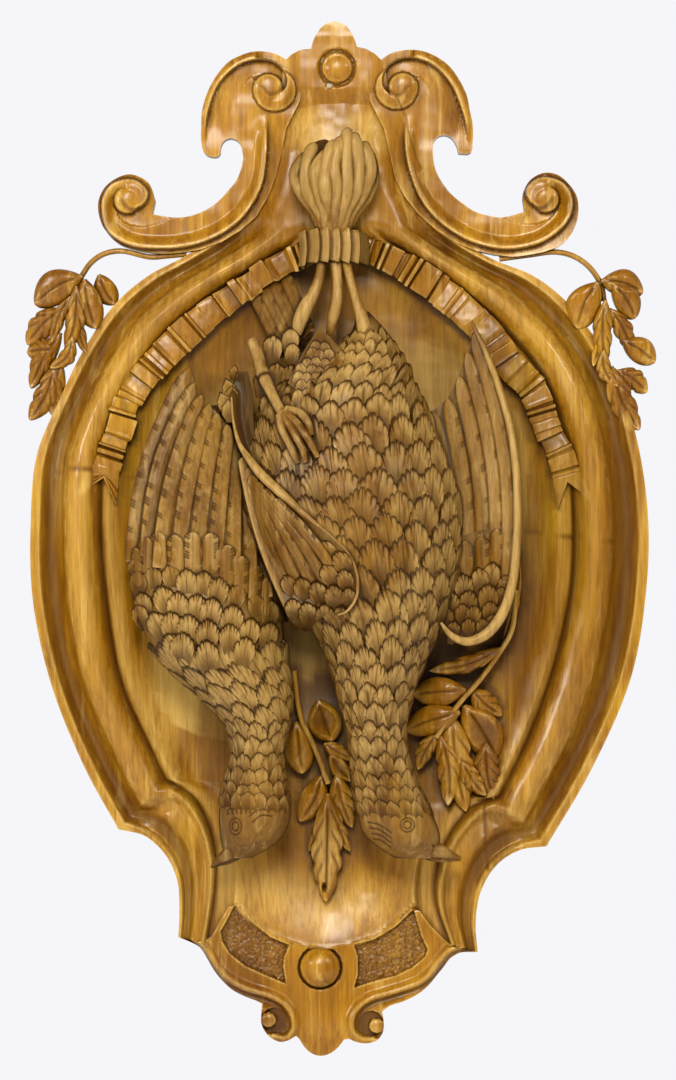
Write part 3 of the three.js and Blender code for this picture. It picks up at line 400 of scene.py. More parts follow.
# Runs of stations down the board, with the steps in each run. A station has the outer edge and valley on
# the left, the valley and outer edge on the right, and the section there.
RUNS = [
    (230, [
        ((290, 60), (330, 60), (344, 60), (385, 60), "neck"),
        ((276, 92), (330, 95), (344, 95), (398, 92), "neck"),
        ((266, 128), (330, 130), (344, 130), (405, 128), "neck"),
        ((262, 165), (326, 170), (350, 170), (408, 165), "neck"),
        ((246, 207), (308, 226), (368, 222), (422, 205), "neck"),
        ((212, 238), (270, 258), (405, 252), (455, 236), "side"),
        ((180, 258), (235, 279), (440, 275), (492, 258), "side"),
        ((148, 275), (200, 304), (482, 308), (535, 276), "side"),
        ((115, 303), (163, 337), (517, 343), (568, 302), "side"),
        ((85, 346), (137, 375), (540, 372), (597, 340), "side"),
        ((57, 403), (114, 415), (558, 412), (622, 388), "side"),
        ((36, 455), (103, 458), (569, 455), (640, 450), "side"),
        ((30, 520), (100, 520), (574, 520), (649, 520), "side"),
        ((32, 600), (106, 600), (571, 590), (647, 590), "side"),
        ((50, 683), (121, 683), (552, 675), (632, 677), "side"),
        ((84, 768), (147, 742), (527, 742), (592, 770), "turn"),
        ((118, 830), (165, 780), (500, 797), (547, 847), "turn"),
    ]),
    (60, [
        ((118, 830), (165, 780), (500, 797), (547, 847), "turn"),
        ((145, 837), (192, 796), (474, 806), (520, 851), "base"),
        ((166, 857), (209, 826), (451, 832), (497, 866), "base"),
        ((177, 882), (216, 862), (438, 864), (481, 893), "base"),
        ((179, 912), (214, 900), (435, 900), (476, 925), "base"),
        ((178, 938), (207, 944), (449, 944), (478, 953), "base"),
    ]),
    (24, [
        ((178, 938), (207, 944), (449, 944), (478, 953), "base"),
        ((200, 949), (216, 962), (434, 954), (456, 955), "foot"),
        ((214, 972), (229, 980), (422, 970), (441, 972), "foot"),
        ((235, 993), (252, 991), (400, 984), (423, 992), "foot"),
        ((262, 1005), (277, 1000), (374, 994), (392, 1006), "foot"),
        ((290, 1022), (296, 1016), (352, 1014), (362, 1024), "foot"),
    ]),
]

# The dish in the lower field: column, row and radius, then its heights, and the row from which its edge
# runs on under the foot
DISH = (325, 838, 111)
DISH_FLOOR = 17.0
DISH_RIM = 26.3
DISH_DROP = 7
DISH_FOOT_ROW = 900

# The neck lies lower towards the crown lobe, by this much at the upper row
NECK_DROP = 9
NECK_SLOPE_ROWS = (84, 150)


def dish_height(column, row, height):
    """The field's heights with the dish sunk into them."""
    reach = away_from(column, row, DISH) / DISH[2]
    bowl = lerp(DISH_FLOOR, DISH_RIM, np.clip(reach, 0, 1) ** 3) - DISH_DROP * smooth(reach, 1, 1.06)
    return np.where((row > DISH[1]) & ((reach < 1) | (row > DISH_FOOT_ROW)), bowl, height)


def neck_rise(row):
    """How far the neck still lies below its full height, under the crown lobe."""
    top, bottom = NECK_SLOPE_ROWS
    return NECK_DROP * np.clip((bottom - row) / (bottom - top), 0, 1)


# Ovals of centre and radii where deep undercuts between the heads and the leaves are painted almost black,
# as painted shadow
PAINTED_SHADOW_SPOTS = [
    ((408, 690), (24, 50)), ((440, 652), (30, 24)), ((324, 704), (26, 36)), ((291, 728), (14, 56)),
    ((503, 620), (9, 34)), ((336, 742), (12, 8)),
]

# Ovals where painted highlights make the board paler, or below 0 painted shade makes it darker: centre,
# radii and amount
PAINTED_LIGHT_SPOTS = [
    ((172, 670), (40, 110), 1.3), ((250, 880), (60, 60), 0.8), ((325, 900), (100, 50), 1.2),
    ((305, 132), (40, 30), 1.1), ((368, 132), (40, 30), 1.1), ((532, 600), (40, 130), -0.5),
    ((600, 560), (60, 220), -0.3), ((150, 420), (60, 100), 0.2), ((80, 560), (22, 130), 0.3),
]

# Cracks and open joints, as lines of column and row with how dark they are
CRACKS = [
    ([(46, 474), (80, 468), (112, 472), (146, 481)], 0.75), ([(525, 531), (580, 538), (615, 541)], 0.85),
    ([(475, 735), (480, 780), (484, 800), (485, 830), (488, 870)], 0.8),
]
CROWN_CRACK = [(395, 93), (405, 115), (410, 135), (416, 155), (422, 170)]
CRACK_WIDTH = 1.7
CROWN_CRACK_WIDTH = 0.8

# Where the board's points lie across the moulding, and across each half of the field
MOULD_MARKS = np.concatenate([
    np.linspace(0, 0.11, 4), np.linspace(0.125, 0.2, 7), np.linspace(0.22, 0.5, 14),
    np.linspace(0.53, 1, 18),
])
FIELD_MARKS = np.linspace(0, 1, 28)[1:] ** 1.25

# How many points past the moulding keep their own height where they meet the dish
DISH_MARGIN = 6


def mirrored(ring, inner):
    """Values across the whole board from those of one moulding and half of the field."""
    return np.concatenate([ring, inner, inner[:-1][::-1], ring[::-1]])


def board_row(lines, kinds, share):
    """Points across the board at one step down it, with their staining and painted shade, and their wear
    and painted highlights.
    """
    one, other = (np.array(SECTIONS[kind], float) for kind in kinds)
    section = lerp(one, other, share)
    field = lerp(np.array(FIELD[kinds[0]], float), np.array(FIELD[kinds[1]], float), share)
    edge_l, valley_l, valley_r, edge_r = lines
    width = valley_r[0] - valley_l[0]
    reach = min(1, width / NARROW_FIELD)
    at = [offset * reach / width for offset in FIELD_OFFSETS] + FIELD_SHARES
    left = [lerp(edge_l, valley_l, p) for p in MOULD_MARKS]
    left += [lerp(valley_l, valley_r, q / 2) for q in FIELD_MARKS]
    right = [lerp(edge_r, valley_r, p) for p in MOULD_MARKS]
    right += [lerp(valley_r, valley_l, q / 2) for q in FIELD_MARKS[:-1]]
    tall = mirrored(profile(section, MOULD_MARKS), profile(list(zip(at, field)), FIELD_MARKS * 0.5))
    carved = lerp(*(kind in CARVED_SECTIONS for kind in kinds), share)
    across = FIELD_MARKS * 0.5 * width
    marks = [
        mirrored(carved * profile(moulding, MOULD_MARKS), carved * profile(floor, across))
        for moulding, floor in ((MOULD_STAIN_AND_SHADE, FIELD_STAIN_AND_SHADE), (MOULD_WEAR_AND_HIGHLIGHT, FIELD_WEAR_AND_HIGHLIGHT))
    ]
    return np.column_stack([np.array(left + right[::-1]), tall]), *marks


def board_body():
    piece = Piece("board_body", **golden)
    rows = []
    for steps, stations in RUNS:
        lines = [curve([s[k] for s in stations], steps + 1, even=False) for k in range(4)]
        for i in range(1 if rows else 0, steps + 1):
            where = i / steps * (len(stations) - 1)
            index = min(int(where), len(stations) - 2)
            kinds = stations[index][4], stations[index + 1][4]
            rows.append(board_row([line[i] for line in lines], kinds, smooth(where - index, 0, 1)))
    grid, cut, tone = (np.array(layer) for layer in zip(*rows))
    c, r, h = grid[..., 0], grid[..., 1], grid[..., 2]
    rim = len(MOULD_MARKS) + DISH_MARGIN
    central = np.zeros(h.shape, bool)
    central[:, rim:-rim] = True
    h = np.where(central, dish_height(c, r, h), h)
    h = h - neck_rise(r)
    h = h + 0.28 * ripple(c, r, 23, 1) + 0.12 * ripple(c, r, 7, 2)
    # Painted shadow: the deep undercuts are painted almost black
    for centre, radii in PAINTED_SHADOW_SPOTS:
        cut = np.maximum(cut, 1 - smooth(within_oval(c, r, centre, radii), 0.75, 1.1))
    # Painted highlights, and painted shade where the amount is below 0
    for centre, radii, amount in PAINTED_LIGHT_SPOTS:
        near = 1 - smooth(within_oval(c, r, centre, radii), 0.2, 1.1)
        tone = tone + amount * near
        cut = np.clip(cut - 0.5 * amount * near, 0, 1)
    for line, dark in CRACKS:
        mark = bell(from_line(c, r, line)[0], 0, CRACK_WIDTH)
        cut, h = np.maximum(cut, dark * mark), h - 0.3 * mark
    add_relief(piece, place(c, r, h), 0, cut, tone)
    return piece


# Backboard: crown. Each scroll has a crest line that ends in a curl round a domed eye.
CROWN_BASE = 28.5
CREST_POINTS = 220
CURL_BLEND = 0.02
SCROLL_REACH = 26
PLATE_PITCH = 1.3
PLATE_BACK = 0.4
CROWN_LOBE = [(311, 48), (314, 38), (322, 26), (334, 20.5), (346, 25), (353, 35), (357, 46)]
UPPER_LEFT = [
    (287, 59), (275, 53), (262, 50.5), (250, 51.5), (240, 55), (230, 60), (220, 70), (212, 82),
    (206, 95), (202, 110), (201, 125), (201, 140), (203, 150), (208, 155), (217, 156), (220, 153),
]
NOTCH_LEFT = [
    (220, 153), (221, 145), (224, 140), (230, 137.5), (236, 139), (240, 143), (242, 150), (243, 158),
]
BAY_LEFT = [
    (243, 158), (241, 168), (236, 180), (228, 190), (220, 199), (208, 208), (195, 214), (180, 217),
    (165, 216), (152, 213.5),
]
VOLUTE_LEFT = [
    (155, 200), (148, 182), (130, 173.5), (115, 178), (104, 187), (98, 200), (98, 212), (102, 225),
    (110, 236), (120, 244), (135, 249), (150, 252), (165, 253), (180, 252),
]
UPPER_RIGHT = [
    (381, 59), (390, 53), (400, 50), (412, 49), (425, 51), (440, 58), (450, 66), (460, 80),
    (467, 95), (470, 110), (473, 125), (473, 140), (471, 152), (459, 152.5),
]
NOTCH_RIGHT = [
    (459, 152.5), (457, 145), (452, 137), (445, 134), (438, 136), (434, 142), (433, 152), (434, 162),
]
BAY_RIGHT = [
    (434, 162), (436, 170), (443, 183), (452, 194), (463, 203), (475, 211), (488, 215), (500, 217),
    (512, 215), (525, 211),
]
VOLUTE_RIGHT = [
    (523, 197), (525, 188), (532, 178), (545, 172), (558, 174), (569, 183), (577, 195), (579, 208),
    (577, 222), (570, 236), (560, 245), (545, 251), (530, 254), (512, 256), (495, 254),
]


class Scroll:
    """The crest of a C-scroll: its line, which side the rim is on and the knot where it starts to curl.

    The disc and its eye are given by column, row and radius.
    """

    def __init__(self, line, side, curl_from, disc, eye, corner):
        self.path = curve(line, CREST_POINTS)
        self.side, self.disc, self.eye, self.corner = side, disc, eye, corner
        knot = np.array(line[curl_from], float)
        self.curl = np.argmin(np.hypot(*(self.path - knot).T)) / (CREST_POINTS - 1)

    def reach(self, column, row):
        """How strongly the scroll shapes each point, from 0 to 1."""
        left = column < CENTRE_COLUMN
        where = left if self.corner.endswith("left") else ~left
        fade = smooth(row, 112, 150)
        return np.where(where, fade if self.corner.startswith("lower") else 1 - fade * (row > 100), 0)

    def shape(self, column, row):
        """Height, painted shade and tone of the rim, the field inside the crest, the disc and the eye."""
        away, along = from_line(column, row, self.path)
        away = away * self.side
        out, within = np.clip(away, 0, None), np.clip(-away, 0, None)
        disc = away_from(column, row, self.disc)
        curl = smooth(along, self.curl - CURL_BLEND, self.curl + CURL_BLEND)
        on_disc = 1 - smooth(disc, self.disc[2] - 0.8, self.disc[2] + 0.8)
        raised = np.where(away > 0, lerp(1, on_disc, curl), 0)
        within = np.where((away > 0) & (raised < 0.5), SCROLL_REACH, within)
        field = CROWN_BASE + 2.0 * smooth(within, 2, SCROLL_REACH) - 1.6 * np.exp(-within / 3)
        band = lerp(35 - 4.2 * smooth(out, 1.5, 13), 37 - 1.6 * smooth(disc, 12, 23), curl)
        top = lerp(field, band, np.where(away > 0, raised, 1 - smooth(within, 0.3, 2.2)))
        eye = away_from(column, row, self.eye) / self.eye[2]
        domed = np.maximum(38 - 1.7 * eye ** 3, top)
        top = np.where(eye < 1, domed, lerp(domed, top, smooth(eye, 1, 1.12)))
        # The foot of the rim and the eye's edge are darkened with painted shade, and the rim's crest
        # painted paler with wear and painted highlight
        groove = 0.75 * bell(within, 2.6, 2.0) * (away < 0)
        cut = groove + 0.8 * bell(eye, 1.08, 0.07) * (raised < 0.5)
        tone = 0.9 * bell(out, 0.6, 1.1) * (away > 0) * (1 - 0.5 * curl)
        return top, cut, tone


SCROLLS = [
    Scroll([
        (204, 160), (204.5, 140), (205, 125), (208, 108), (218, 83), (238, 64), (258, 58), (272, 60),
        (282, 67), (287, 77), (286.5, 86), (281, 92.5), (274, 96), (267, 95), (262, 89),
    ], 1, 6, (274.5, 89.5, 21.5), (268, 88, 14), "upper_left"),
    Scroll([
        (470, 160), (469, 145), (467, 125), (463, 110), (451, 82), (432, 63), (413, 56.5), (399, 58),
        (388, 65), (382, 76), (382.5, 86), (388, 93), (395, 97), (402, 96), (408, 89),
    ], -1, 6, (396.5, 87.5, 21.5), (403, 87, 14), "upper_right"),
    Scroll([
        (266, 118), (266, 150), (261, 185), (245, 213), (230, 227), (215, 236), (195, 243.5), (175, 247),
        (155, 247.5), (135, 245.5), (120, 240), (108, 230), (102.5, 213), (103, 198), (110, 186),
        (121, 180.5), (133, 180), (142, 185), (147, 193), (144, 202), (137, 206.5), (130, 206), (124, 200),
    ], -1, 15, (131, 198, 23.5), (127, 200, 12.5), "lower_left"),
    Scroll([
        (406, 118), (406, 150), (410, 170), (417, 190), (427, 207), (440, 221), (455, 232), (470, 240),
        (490, 246), (505, 248), (520, 247), (540, 242), (555, 233), (566, 222), (572, 208), (571, 195),
        (564, 184), (553, 178.5), (541, 178), (532, 183), (527, 191), (530, 200), (537, 205), (543, 205),
        (549, 199),
    ], 1, 17, (543, 196.5, 23.5), (546, 199, 12.5), "lower_right"),
]


def crown_surface(column, row):
    """The crown's two sides, shaped by the scrolls one after the other."""
    height, cut, tone = (np.full(column.shape, value) for value in (CROWN_BASE + 1.0, 0.0, 0.0))
    for scroll in SCROLLS:
        share = scroll.reach(column, row)
        shape = scroll.shape(column, row)
        height, cut, tone = (lerp(a, b, share) for a, b in zip((height, cut, tone), shape))
    crack = bell(from_line(column, row, CROWN_CRACK)[0], 0, CROWN_CRACK_WIDTH)
    return height + crown_tooling(column, row) - 0.5 * crack, np.maximum(cut, 0.85 * crack), tone


def crown_tooling(column, row):
    """The faint unevenness that the carver's tools left."""
    return 0.22 * ripple(column, row, 12, 3)


# The lobe over the neck: a boss in a ring, the screw hole below it, and the neck that it runs down into
LOBE_CENTRE = (337, 67)
LOBE_RING = 17
LOBE_BOSS = 16
SCREW_HOLE = (329, 85)
SCREW_HOLE_DEPTH = 14
NECK_ROWS = [60, 92, 128, 165]
NECK_EDGES = [290, 276, 266, 262], [385, 398, 405, 408]
NECK_TOP_COLUMNS = (329, 344)


def lobe_surface(column, row):
    reach = away_from(column, row, LOBE_CENTRE)
    height = 31.5 - 1.5 * smooth(-row, -36, -20) + crown_tooling(column, row)
    height = height - 1.2 * smooth(np.abs(column - 336), 34, 52)
    left, right = (np.interp(row, NECK_ROWS, edge) for edge in NECK_EDGES)
    top_left, top_right = NECK_TOP_COLUMNS
    share = np.minimum((column - left) / (top_left - left), (right - column) / (right - top_right))
    neck = profile(SECTIONS["neck"], np.clip(share, 0, 1)) - neck_rise(row) - 0.7
    height = lerp(height, neck, smooth(row, 86, 112))
    ring = height - 3.0 * smooth(-np.abs(reach - LOBE_RING), -3.0, -0.6)
    dome = np.where(reach < LOBE_BOSS, height + 1.8 - 3.6 * (reach / LOBE_BOSS) ** 2.4, 0)
    # The ring groove is darkened with staining and painted shade, the screw hole with painted shade, and
    # the lobe is darker outside the boss
    hole = smooth(-away_from(column, row, SCREW_HOLE), -3.8, -2.6)
    cut = np.maximum(0.85 * bell(reach, LOBE_RING, 1.5), hole)
    tone = 0.15 * (reach < 14) * (1 - hole) - 0.3 * (reach > 18)
    return np.maximum(ring, dome) - SCREW_HOLE_DEPTH * hole, cut, tone


# How the crown's plates run on under the board's own body
INNER_LEFT = [
    (200, 249), (222, 241), (240, 230), (256, 216), (268, 196), (276, 175), (282, 150), (286, 128),
    (294, 112), (300, 100), (302, 84), (297, 70),
]
INNER_RIGHT = [
    (476, 250), (456, 242), (436, 229), (418, 213), (404, 195), (395, 177), (389, 150), (384, 128),
    (376, 112), (370, 100), (369, 84), (373, 70),
]
INNER_TOP = [
    (366, 48), (375, 53), (384, 62), (392, 100), (380, 122), (340, 126), (290, 122), (280, 100),
    (283, 62), (291, 54), (300, 49),
]
LOBE_BACK = 4


def crown():
    piece = Piece("crown_scrolls", **golden)
    left = ((UPPER_LEFT, 60), (NOTCH_LEFT, 18), (BAY_LEFT, 40), (VOLUTE_LEFT, 70), (INNER_LEFT, 0))
    right = ((UPPER_RIGHT, 54), (NOTCH_RIGHT, 18), (BAY_RIGHT, 40), (VOLUTE_RIGHT, 76), (INNER_RIGHT, 0))
    for runs in (left, right):
        add_plate(piece, outline_of(*runs), PLATE_BACK, crown_surface, PLATE_PITCH)
    lobe = outline_of((CROWN_LOBE, 26), (INNER_TOP, 0))
    add_plate(piece, lobe, LOBE_BACK, lobe_surface, PLATE_PITCH)
    return piece


# Backboard: foot, whose flat apron is level with the rim of the dish
FOOT_LEFT = [
    (178, 938), (190, 941), (200, 949), (207, 960), (214, 972), (224, 984), (235, 993), (250, 999),
    (262, 1005),
]
FOOT_SCROLL_LEFT = [
    (262, 1005), (261, 1016), (261, 1024), (265, 1033), (271, 1039), (280, 1043), (288, 1041.5),
    (296, 1037),
]
FOOT_LOBE = [(299, 1040), (304, 1048), (310, 1054), (320, 1057.5), (330, 1055), (338, 1049), (344, 1041)]
FOOT_SCROLL_RIGHT = [
    (349, 1040), (356, 1043), (366, 1044.5), (376, 1042), (382, 1036), (384, 1026), (382, 1013),
]
FOOT_RIGHT = [
    (382, 1013), (390, 1007), (405, 1002), (420, 994), (430, 985), (440, 972), (450, 960), (460, 954),
    (470, 953), (478, 953),
]
FOOT_JOIN_RIGHT = [(456, 949), (446, 942), (430, 926), (420, 912)]
FOOT_JOIN_LEFT = [(228, 908), (220, 922), (211, 938), (196, 943)]
FILLET_LEFT = [
    (176, 933), (193, 939), (203, 946), (210, 957), (218, 970), (229, 981), (243, 989), (258, 994),
    (273, 999), (285, 1007), (292, 1019), (292, 1031), (285, 1038), (273, 1036),
]
FILLET_RIGHT = [
    (480, 948), (463, 947), (450, 952), (440, 963), (431, 975), (420, 984), (404, 990), (388, 995),
    (372, 1000), (360, 1008), (353, 1020), (354, 1032), (362, 1039), (373, 1039),
]

# The curls beside the foot's lobe: column, row and radius of each hollow and of its eye
FOOT_CURLS = [((274, 1022, 13), (268.5, 1021, 7.5)), ((371, 1025, 13), (376.5, 1027, 7.5))]
PANEL_LEFT = [
    (236, 903), (250, 922), (270, 938), (289, 946), (284, 958), (283, 968), (286, 985), (265, 976),
    (245, 967), (230, 955), (222, 943), (220, 932), (226, 922),
]
PANEL_RIGHT = [
    (414, 910), (395, 928), (375, 940), (354, 946), (358, 958), (358, 975), (354, 989), (375, 982),
    (395, 977), (412, 969), (425, 958), (428, 950), (422, 938), (418, 925),
]
BOSS = (320, 968.5, 20)
BOSS_RING = 20.6
FOOT_MIDDLE = 322
FILLET_TOP = 28.6
COVE_FLOOR = 23.4
CURL_FLOOR = 22.6
PANEL_FLOOR = 21.8


def foot_surface(column, row):
    """The apron with its fillets, curls, sunken punched panels, boss and lobe."""
    height = np.full(column.shape, DISH_RIM + 0.1)
    cut, tone = np.zeros(column.shape), np.zeros(column.shape)
    for line, side in ((FILLET_LEFT, 1), (FILLET_RIGHT, -1)):
        away = from_line(column, row, curve(line, 140))[0] * side
        near = (column < FOOT_MIDDLE) == (side == 1)
        out, within = np.clip(away, 0, None), np.clip(-away, 0, None)
        crest = FILLET_TOP - 2.6 * smooth(out, 1.0, 9)
        cove = lerp(FILLET_TOP, COVE_FLOOR, smooth(within, 0.5, 4.5))
        cove = lerp(cove, height, smooth(within, 5, 15))
        height = np.where(near, np.where(away > 0, crest, cove), height)
        # Each cove is darkened with painted shade, and each fillet's crest painted paler as painted
        # highlight
        cut = np.where(near & (away < 0), 0.75 * bell(within, 5, 3.2), cut)
        tone = np.where(near & (away > 0), 0.7 * bell(out, 1.2, 1.6), tone)
    for curl, eye in FOOT_CURLS:
        sunk_in = 1 - smooth(away_from(column, row, curl), curl[2] - 1.2, curl[2] + 0.4)
        height = lerp(height, np.minimum(height, CURL_FLOOR), sunk_in)
        eye_reach = away_from(column, row, eye) / eye[2]
        cap = 29 - 1.4 * eye_reach ** 3 - 6 * smooth(eye_reach, 0.94, 1.14)
        height = np.where(eye_reach < 1.14, np.maximum(height, cap), height)
        # The curl's hollow round its eye is darkened with painted shade
        cut = lerp(cut, np.where(eye_reach < 0.97, 0, 0.85), sunk_in)
    for outline in (PANEL_LEFT, PANEL_RIGHT):
        deep, _ = from_line(column, row, np.vstack([outline, outline[:1]]))
        within = inside(column, row, outline)
        pits = 0.6 * ripple(column, row, 1.9, 9) + 0.4 * ripple(column, row, 1.2, 10)
        sink = smooth(np.abs(deep), 0, 1.4)
        height = np.where(within, lerp(height, PANEL_FLOOR + pits, sink), height)
        # The punched panels are darker, and the board along their edges paler
        cut = np.where(within, 0.62 - 0.5 * pits, cut)
        tone = np.where(within, 0, tone + 0.8 * bell(deep, 0, 1.3))
    reach = away_from(column, row, BOSS)
    ring = height - 3.6 * smooth(-np.abs(reach - BOSS_RING), -2.4, -0.6)
    dome = np.where(reach < BOSS[2], 33 - 6.2 * (reach / BOSS[2]) ** 2.3, 0)
    height = np.where(reach < 24, np.maximum(ring, dome), height)
    # The boss's ring groove is darkened with staining and painted shade
    cut = np.maximum(cut, 0.95 * bell(reach, BOSS_RING, 1.3))
    lobe = smooth(row, 1012, 1056) * smooth(-np.abs(column - 321), -32, -20)
    return height - 4 * lobe ** 2 + 0.2 * ripple(column, row, 11, 5), cut, tone


def foot():
    piece = Piece("foot_carving", **golden)
    inner = DISH[2] * 0.985
    turns = np.radians(np.linspace(40, 142, 60))
    arc = [(DISH[0] + inner * math.cos(a), DISH[1] + inner * math.sin(a)) for a in turns]
    outline = outline_of(
        (FOOT_LEFT, 26), (FOOT_SCROLL_LEFT, 26), (FOOT_LOBE, 22), (FOOT_SCROLL_RIGHT, 26), (FOOT_RIGHT, 34),
        (FOOT_JOIN_RIGHT, 0), (arc, 0), (FOOT_JOIN_LEFT, 0),
    )
    add_plate(piece, outline, PLATE_BACK, foot_surface, PLATE_PITCH)
    return piece


# Backboard: pleated ribbon, each streamer a line of column, row and half width, with a seed
STREAMERS = [
    ([
        (312, 251, 11), (285, 261, 12), (255, 280, 12), (208, 314, 14), (181, 337, 15), (153, 365, 14),
        (130, 396, 13), (118, 431, 13), (108, 461, 13), (99, 492, 19),
    ], 11),
    ([
        (356, 247, 11), (390, 260, 13), (424, 280, 15), (459, 304, 15), (490, 337, 15), (511, 367, 15),
        (535, 393, 14), (549, 432, 13), (561, 458, 13), (572, 496, 16),
    ], 12),
]
FORK_DEPTH = 15
RIBBON_TOP = 32.4
RIBBON_BACK = 10
PLEAT_WALL = 1.2


def pleats(length, dice):
    """Marks along a ribbon with the height of the cloth at each, in flat facets and narrow pleats."""
    marks, levels, slides = [0.0], [0.0], [0.0]

    def fold(span, level, slide):
        marks.extend([marks[-1] + PLEAT_WALL, marks[-1] + PLEAT_WALL + span])
        levels.extend([level - dice.uniform(-1.4, 1.8), level])
        slides.extend([slide, slide])

    while marks[-1] < length:
        slide = dice.uniform(-1, 1)
        fold(dice.uniform(5, 15), dice.uniform(-0.4, 1.8), slide)
        if dice.rand() < 0.6:
            for _ in range(dice.randint(1, 4)):
                fold(dice.uniform(1.5, 4.5), dice.uniform(1.0, 2.6), slide)
                fold(dice.uniform(0.4, 1.4), dice.uniform(-0.9, 0.6), slide)
    return np.array(marks), np.array(levels), np.array(slides)


def ribbon():
    piece = Piece("ribbon", **golden)
    for line, seed in STREAMERS:
        path = curve(line, 460)
        run = np.cumsum(np.hypot(*np.gradient(path[:, :2], axis=0).T))
        marks, levels, slides = pleats(run[-1], np.random.RandomState(seed))
        end = smooth(run, run[-1] - 40, run[-1] - 8)[:, None]
        fold = np.interp(run, marks, levels)[:, None] * (1 - 0.75 * end)
        slide = np.interp(run, marks, slides)[:, None] * (1 - end)
        across = np.linspace(-1, 1, 21)[None]
        half = path[:, 2:3] + 0.5 * fold
        off = half * across + slide * 1.6
        fork = FORK_DEPTH * (np.abs(across) * 1.5 - 1) * smooth(run, run[-1] - 22, run[-1])[:, None]
        column, row = beside(path, off, fork)
        height = RIBBON_TOP + fold + 0.6 * slide * across - 0.7 * across ** 6 - 1.5 * end
        height = height + 0.09 * ripple(column, row, 5, seed)
        slope = np.abs(np.gradient(height, axis=0)) / np.gradient(run)[:, None]
        # Steep pleat walls and sunk folds are darkened with painted shade, the right streamer is darker
        # towards the right, and raised folds are painted paler as painted highlight
        cut = 0.75 * smooth(slope, 0.6, 1.6) + 0.5 * smooth(-fold, 0.0, 0.9)
        cut = cut + 0.3 * smooth(column, 380, 500)
        tone = 0.6 * smooth(fold, 1.4, 2.6) + 0.4 * ripple(column, row, 14, seed + 1) - 0.4
        add_relief(piece, place(column, row, height), RIBBON_BACK, np.clip(cut, 0, 1), tone, 0.6)
    return piece


# Leaves
LEAF_DOME = 3.4
LEAF_GROOVE = 1.2
LEAF_HOLE = (324, 888)
LARGE_LEAF_TEETH = [0.38, 0.6, 0.8]
SMALL_LEAF_TEETH = [0.45, 0.72]
STEM_HALF = 2.6


def add_leaf(piece, foot, tip, half, low, high, fall=5, bend=0, blunt=0.5, cup=0, curl=0):
    """A leaf lobe from its foot to its tip: domed, or hollow as a cup, with a groove and side veins."""
    foot, tip = np.array(foot, float), np.array(tip, float)
    length = np.hypot(*(tip - foot))
    along = (tip - foot) / length
    side = np.array([-along[1], along[0]])
    steps, wide = (40, 25) if half > 9 else (26, 15)
    t, u = np.linspace(0, 1, steps)[:, None], rounded(wide)
    grow = np.sin(math.pi * t ** lerp(1.2, 0.75, 1 - blunt)) ** lerp(0.9, 0.5, blunt)
    width = half * np.where(t < 0.5, np.maximum(grow, 0.16), np.maximum(grow, 0.03))
    sway = bend * np.sin(math.pi * t)
    teeth = np.array(LARGE_LEAF_TEETH if half > 13 else SMALL_LEAF_TEETH)[:, None, None]
    teeth = teeth + 0.05 * np.sign(u + bend)
    toothed = cup == 0 and blunt < 0.8
    dome = LEAF_DOME if toothed else LEAF_DOME + 1.2
    width = width * (1 - 0.16 * toothed * np.max(bell(t, teeth, 0.05), 0))
    crease = np.max(np.exp(-((t - teeth + 0.3 * (1 - np.abs(u))) / 0.03) ** 2), 0)
    crease = crease * smooth(np.abs(u), 0.15, 0.5) * toothed
    column = foot[0] + along[0] * length * t + side[0] * (width * u + sway)
    row = foot[1] + along[1] * length * t + side[1] * (width * u + sway)
    round_off = np.sqrt(np.clip(1 - u * u, 0, 1)) - 1
    share = np.minimum(1, width / 7)
    height = lerp(high, high - fall, smooth(t, 0.3, 1)) - 1.5 * (1 - smooth(t, 0, 0.2))
    height = height + curl * smooth(t, 0.8, 1) + dome * round_off * share
    bowl = np.clip(1 - (u / 0.72) ** 2 - ((t - 0.5) / 0.36) ** 2, 0, 1) ** 0.7
    height = height - cup * bowl
    middle = bell(u * width, 0, 1.5) * smooth(t, 0.04, 0.2) * (1 - smooth(t, 0.8, 1))
    vein = np.maximum(np.sin(t * length / 2.1 - np.abs(u) * 3.2), 0) ** 3
    vein = vein * np.abs(u) * (1 - u ** 6) * (half > 8)
    height = height - LEAF_GROOVE * middle - 1.1 * crease * share
    height = height - 0.2 * vein + 0.2 * ripple(column, row, 6, 21)
    # The midrib groove, creases, veins, cup hollows and the leaf's foot are darkened with staining and
    # painted shade
    cut = 0.8 * middle + 0.7 * crease + 0.15 * vein
    cut = cut + 0.65 * bowl * (cup > 0) + 0.25 * (1 - smooth(t, 0, 0.35))
    # The hole is painted dark as painted shade, besides being sunk
    hole = 1 - smooth(np.hypot(column - LEAF_HOLE[0], 0.6 * (row - LEAF_HOLE[1])), 1.2, 2.8)
    height, cut = height - 6 * hole, cut + hole
    # The middle of a domed leaf is painted paler as painted highlight
    tone = 0.5 * (1 - u * u) * smooth(t, 0.3, 0.8) * (cup == 0) - 0.2
    front = place(column, row, height)
    walls = front.reshape(-1, 3)[rim_of(steps, wide)].copy()
    walls[:, 1] = -low
    add_relief(piece, front, walls, np.clip(cut, 0, 1), tone, 0.8)


def add_stem(piece, line, low, high):
    """A half-round stem along a line."""
    u = rounded(9)
    column, row = beside(curve(line, 60), STEM_HALF * u)
    height = high - STEM_HALF * SQUARE * (1 - np.sqrt(np.clip(1 - u * u, 0, 1))) + 0 * column
    add_relief(piece, place(column, row, height), low, 0.1, 0.3, 0.7)


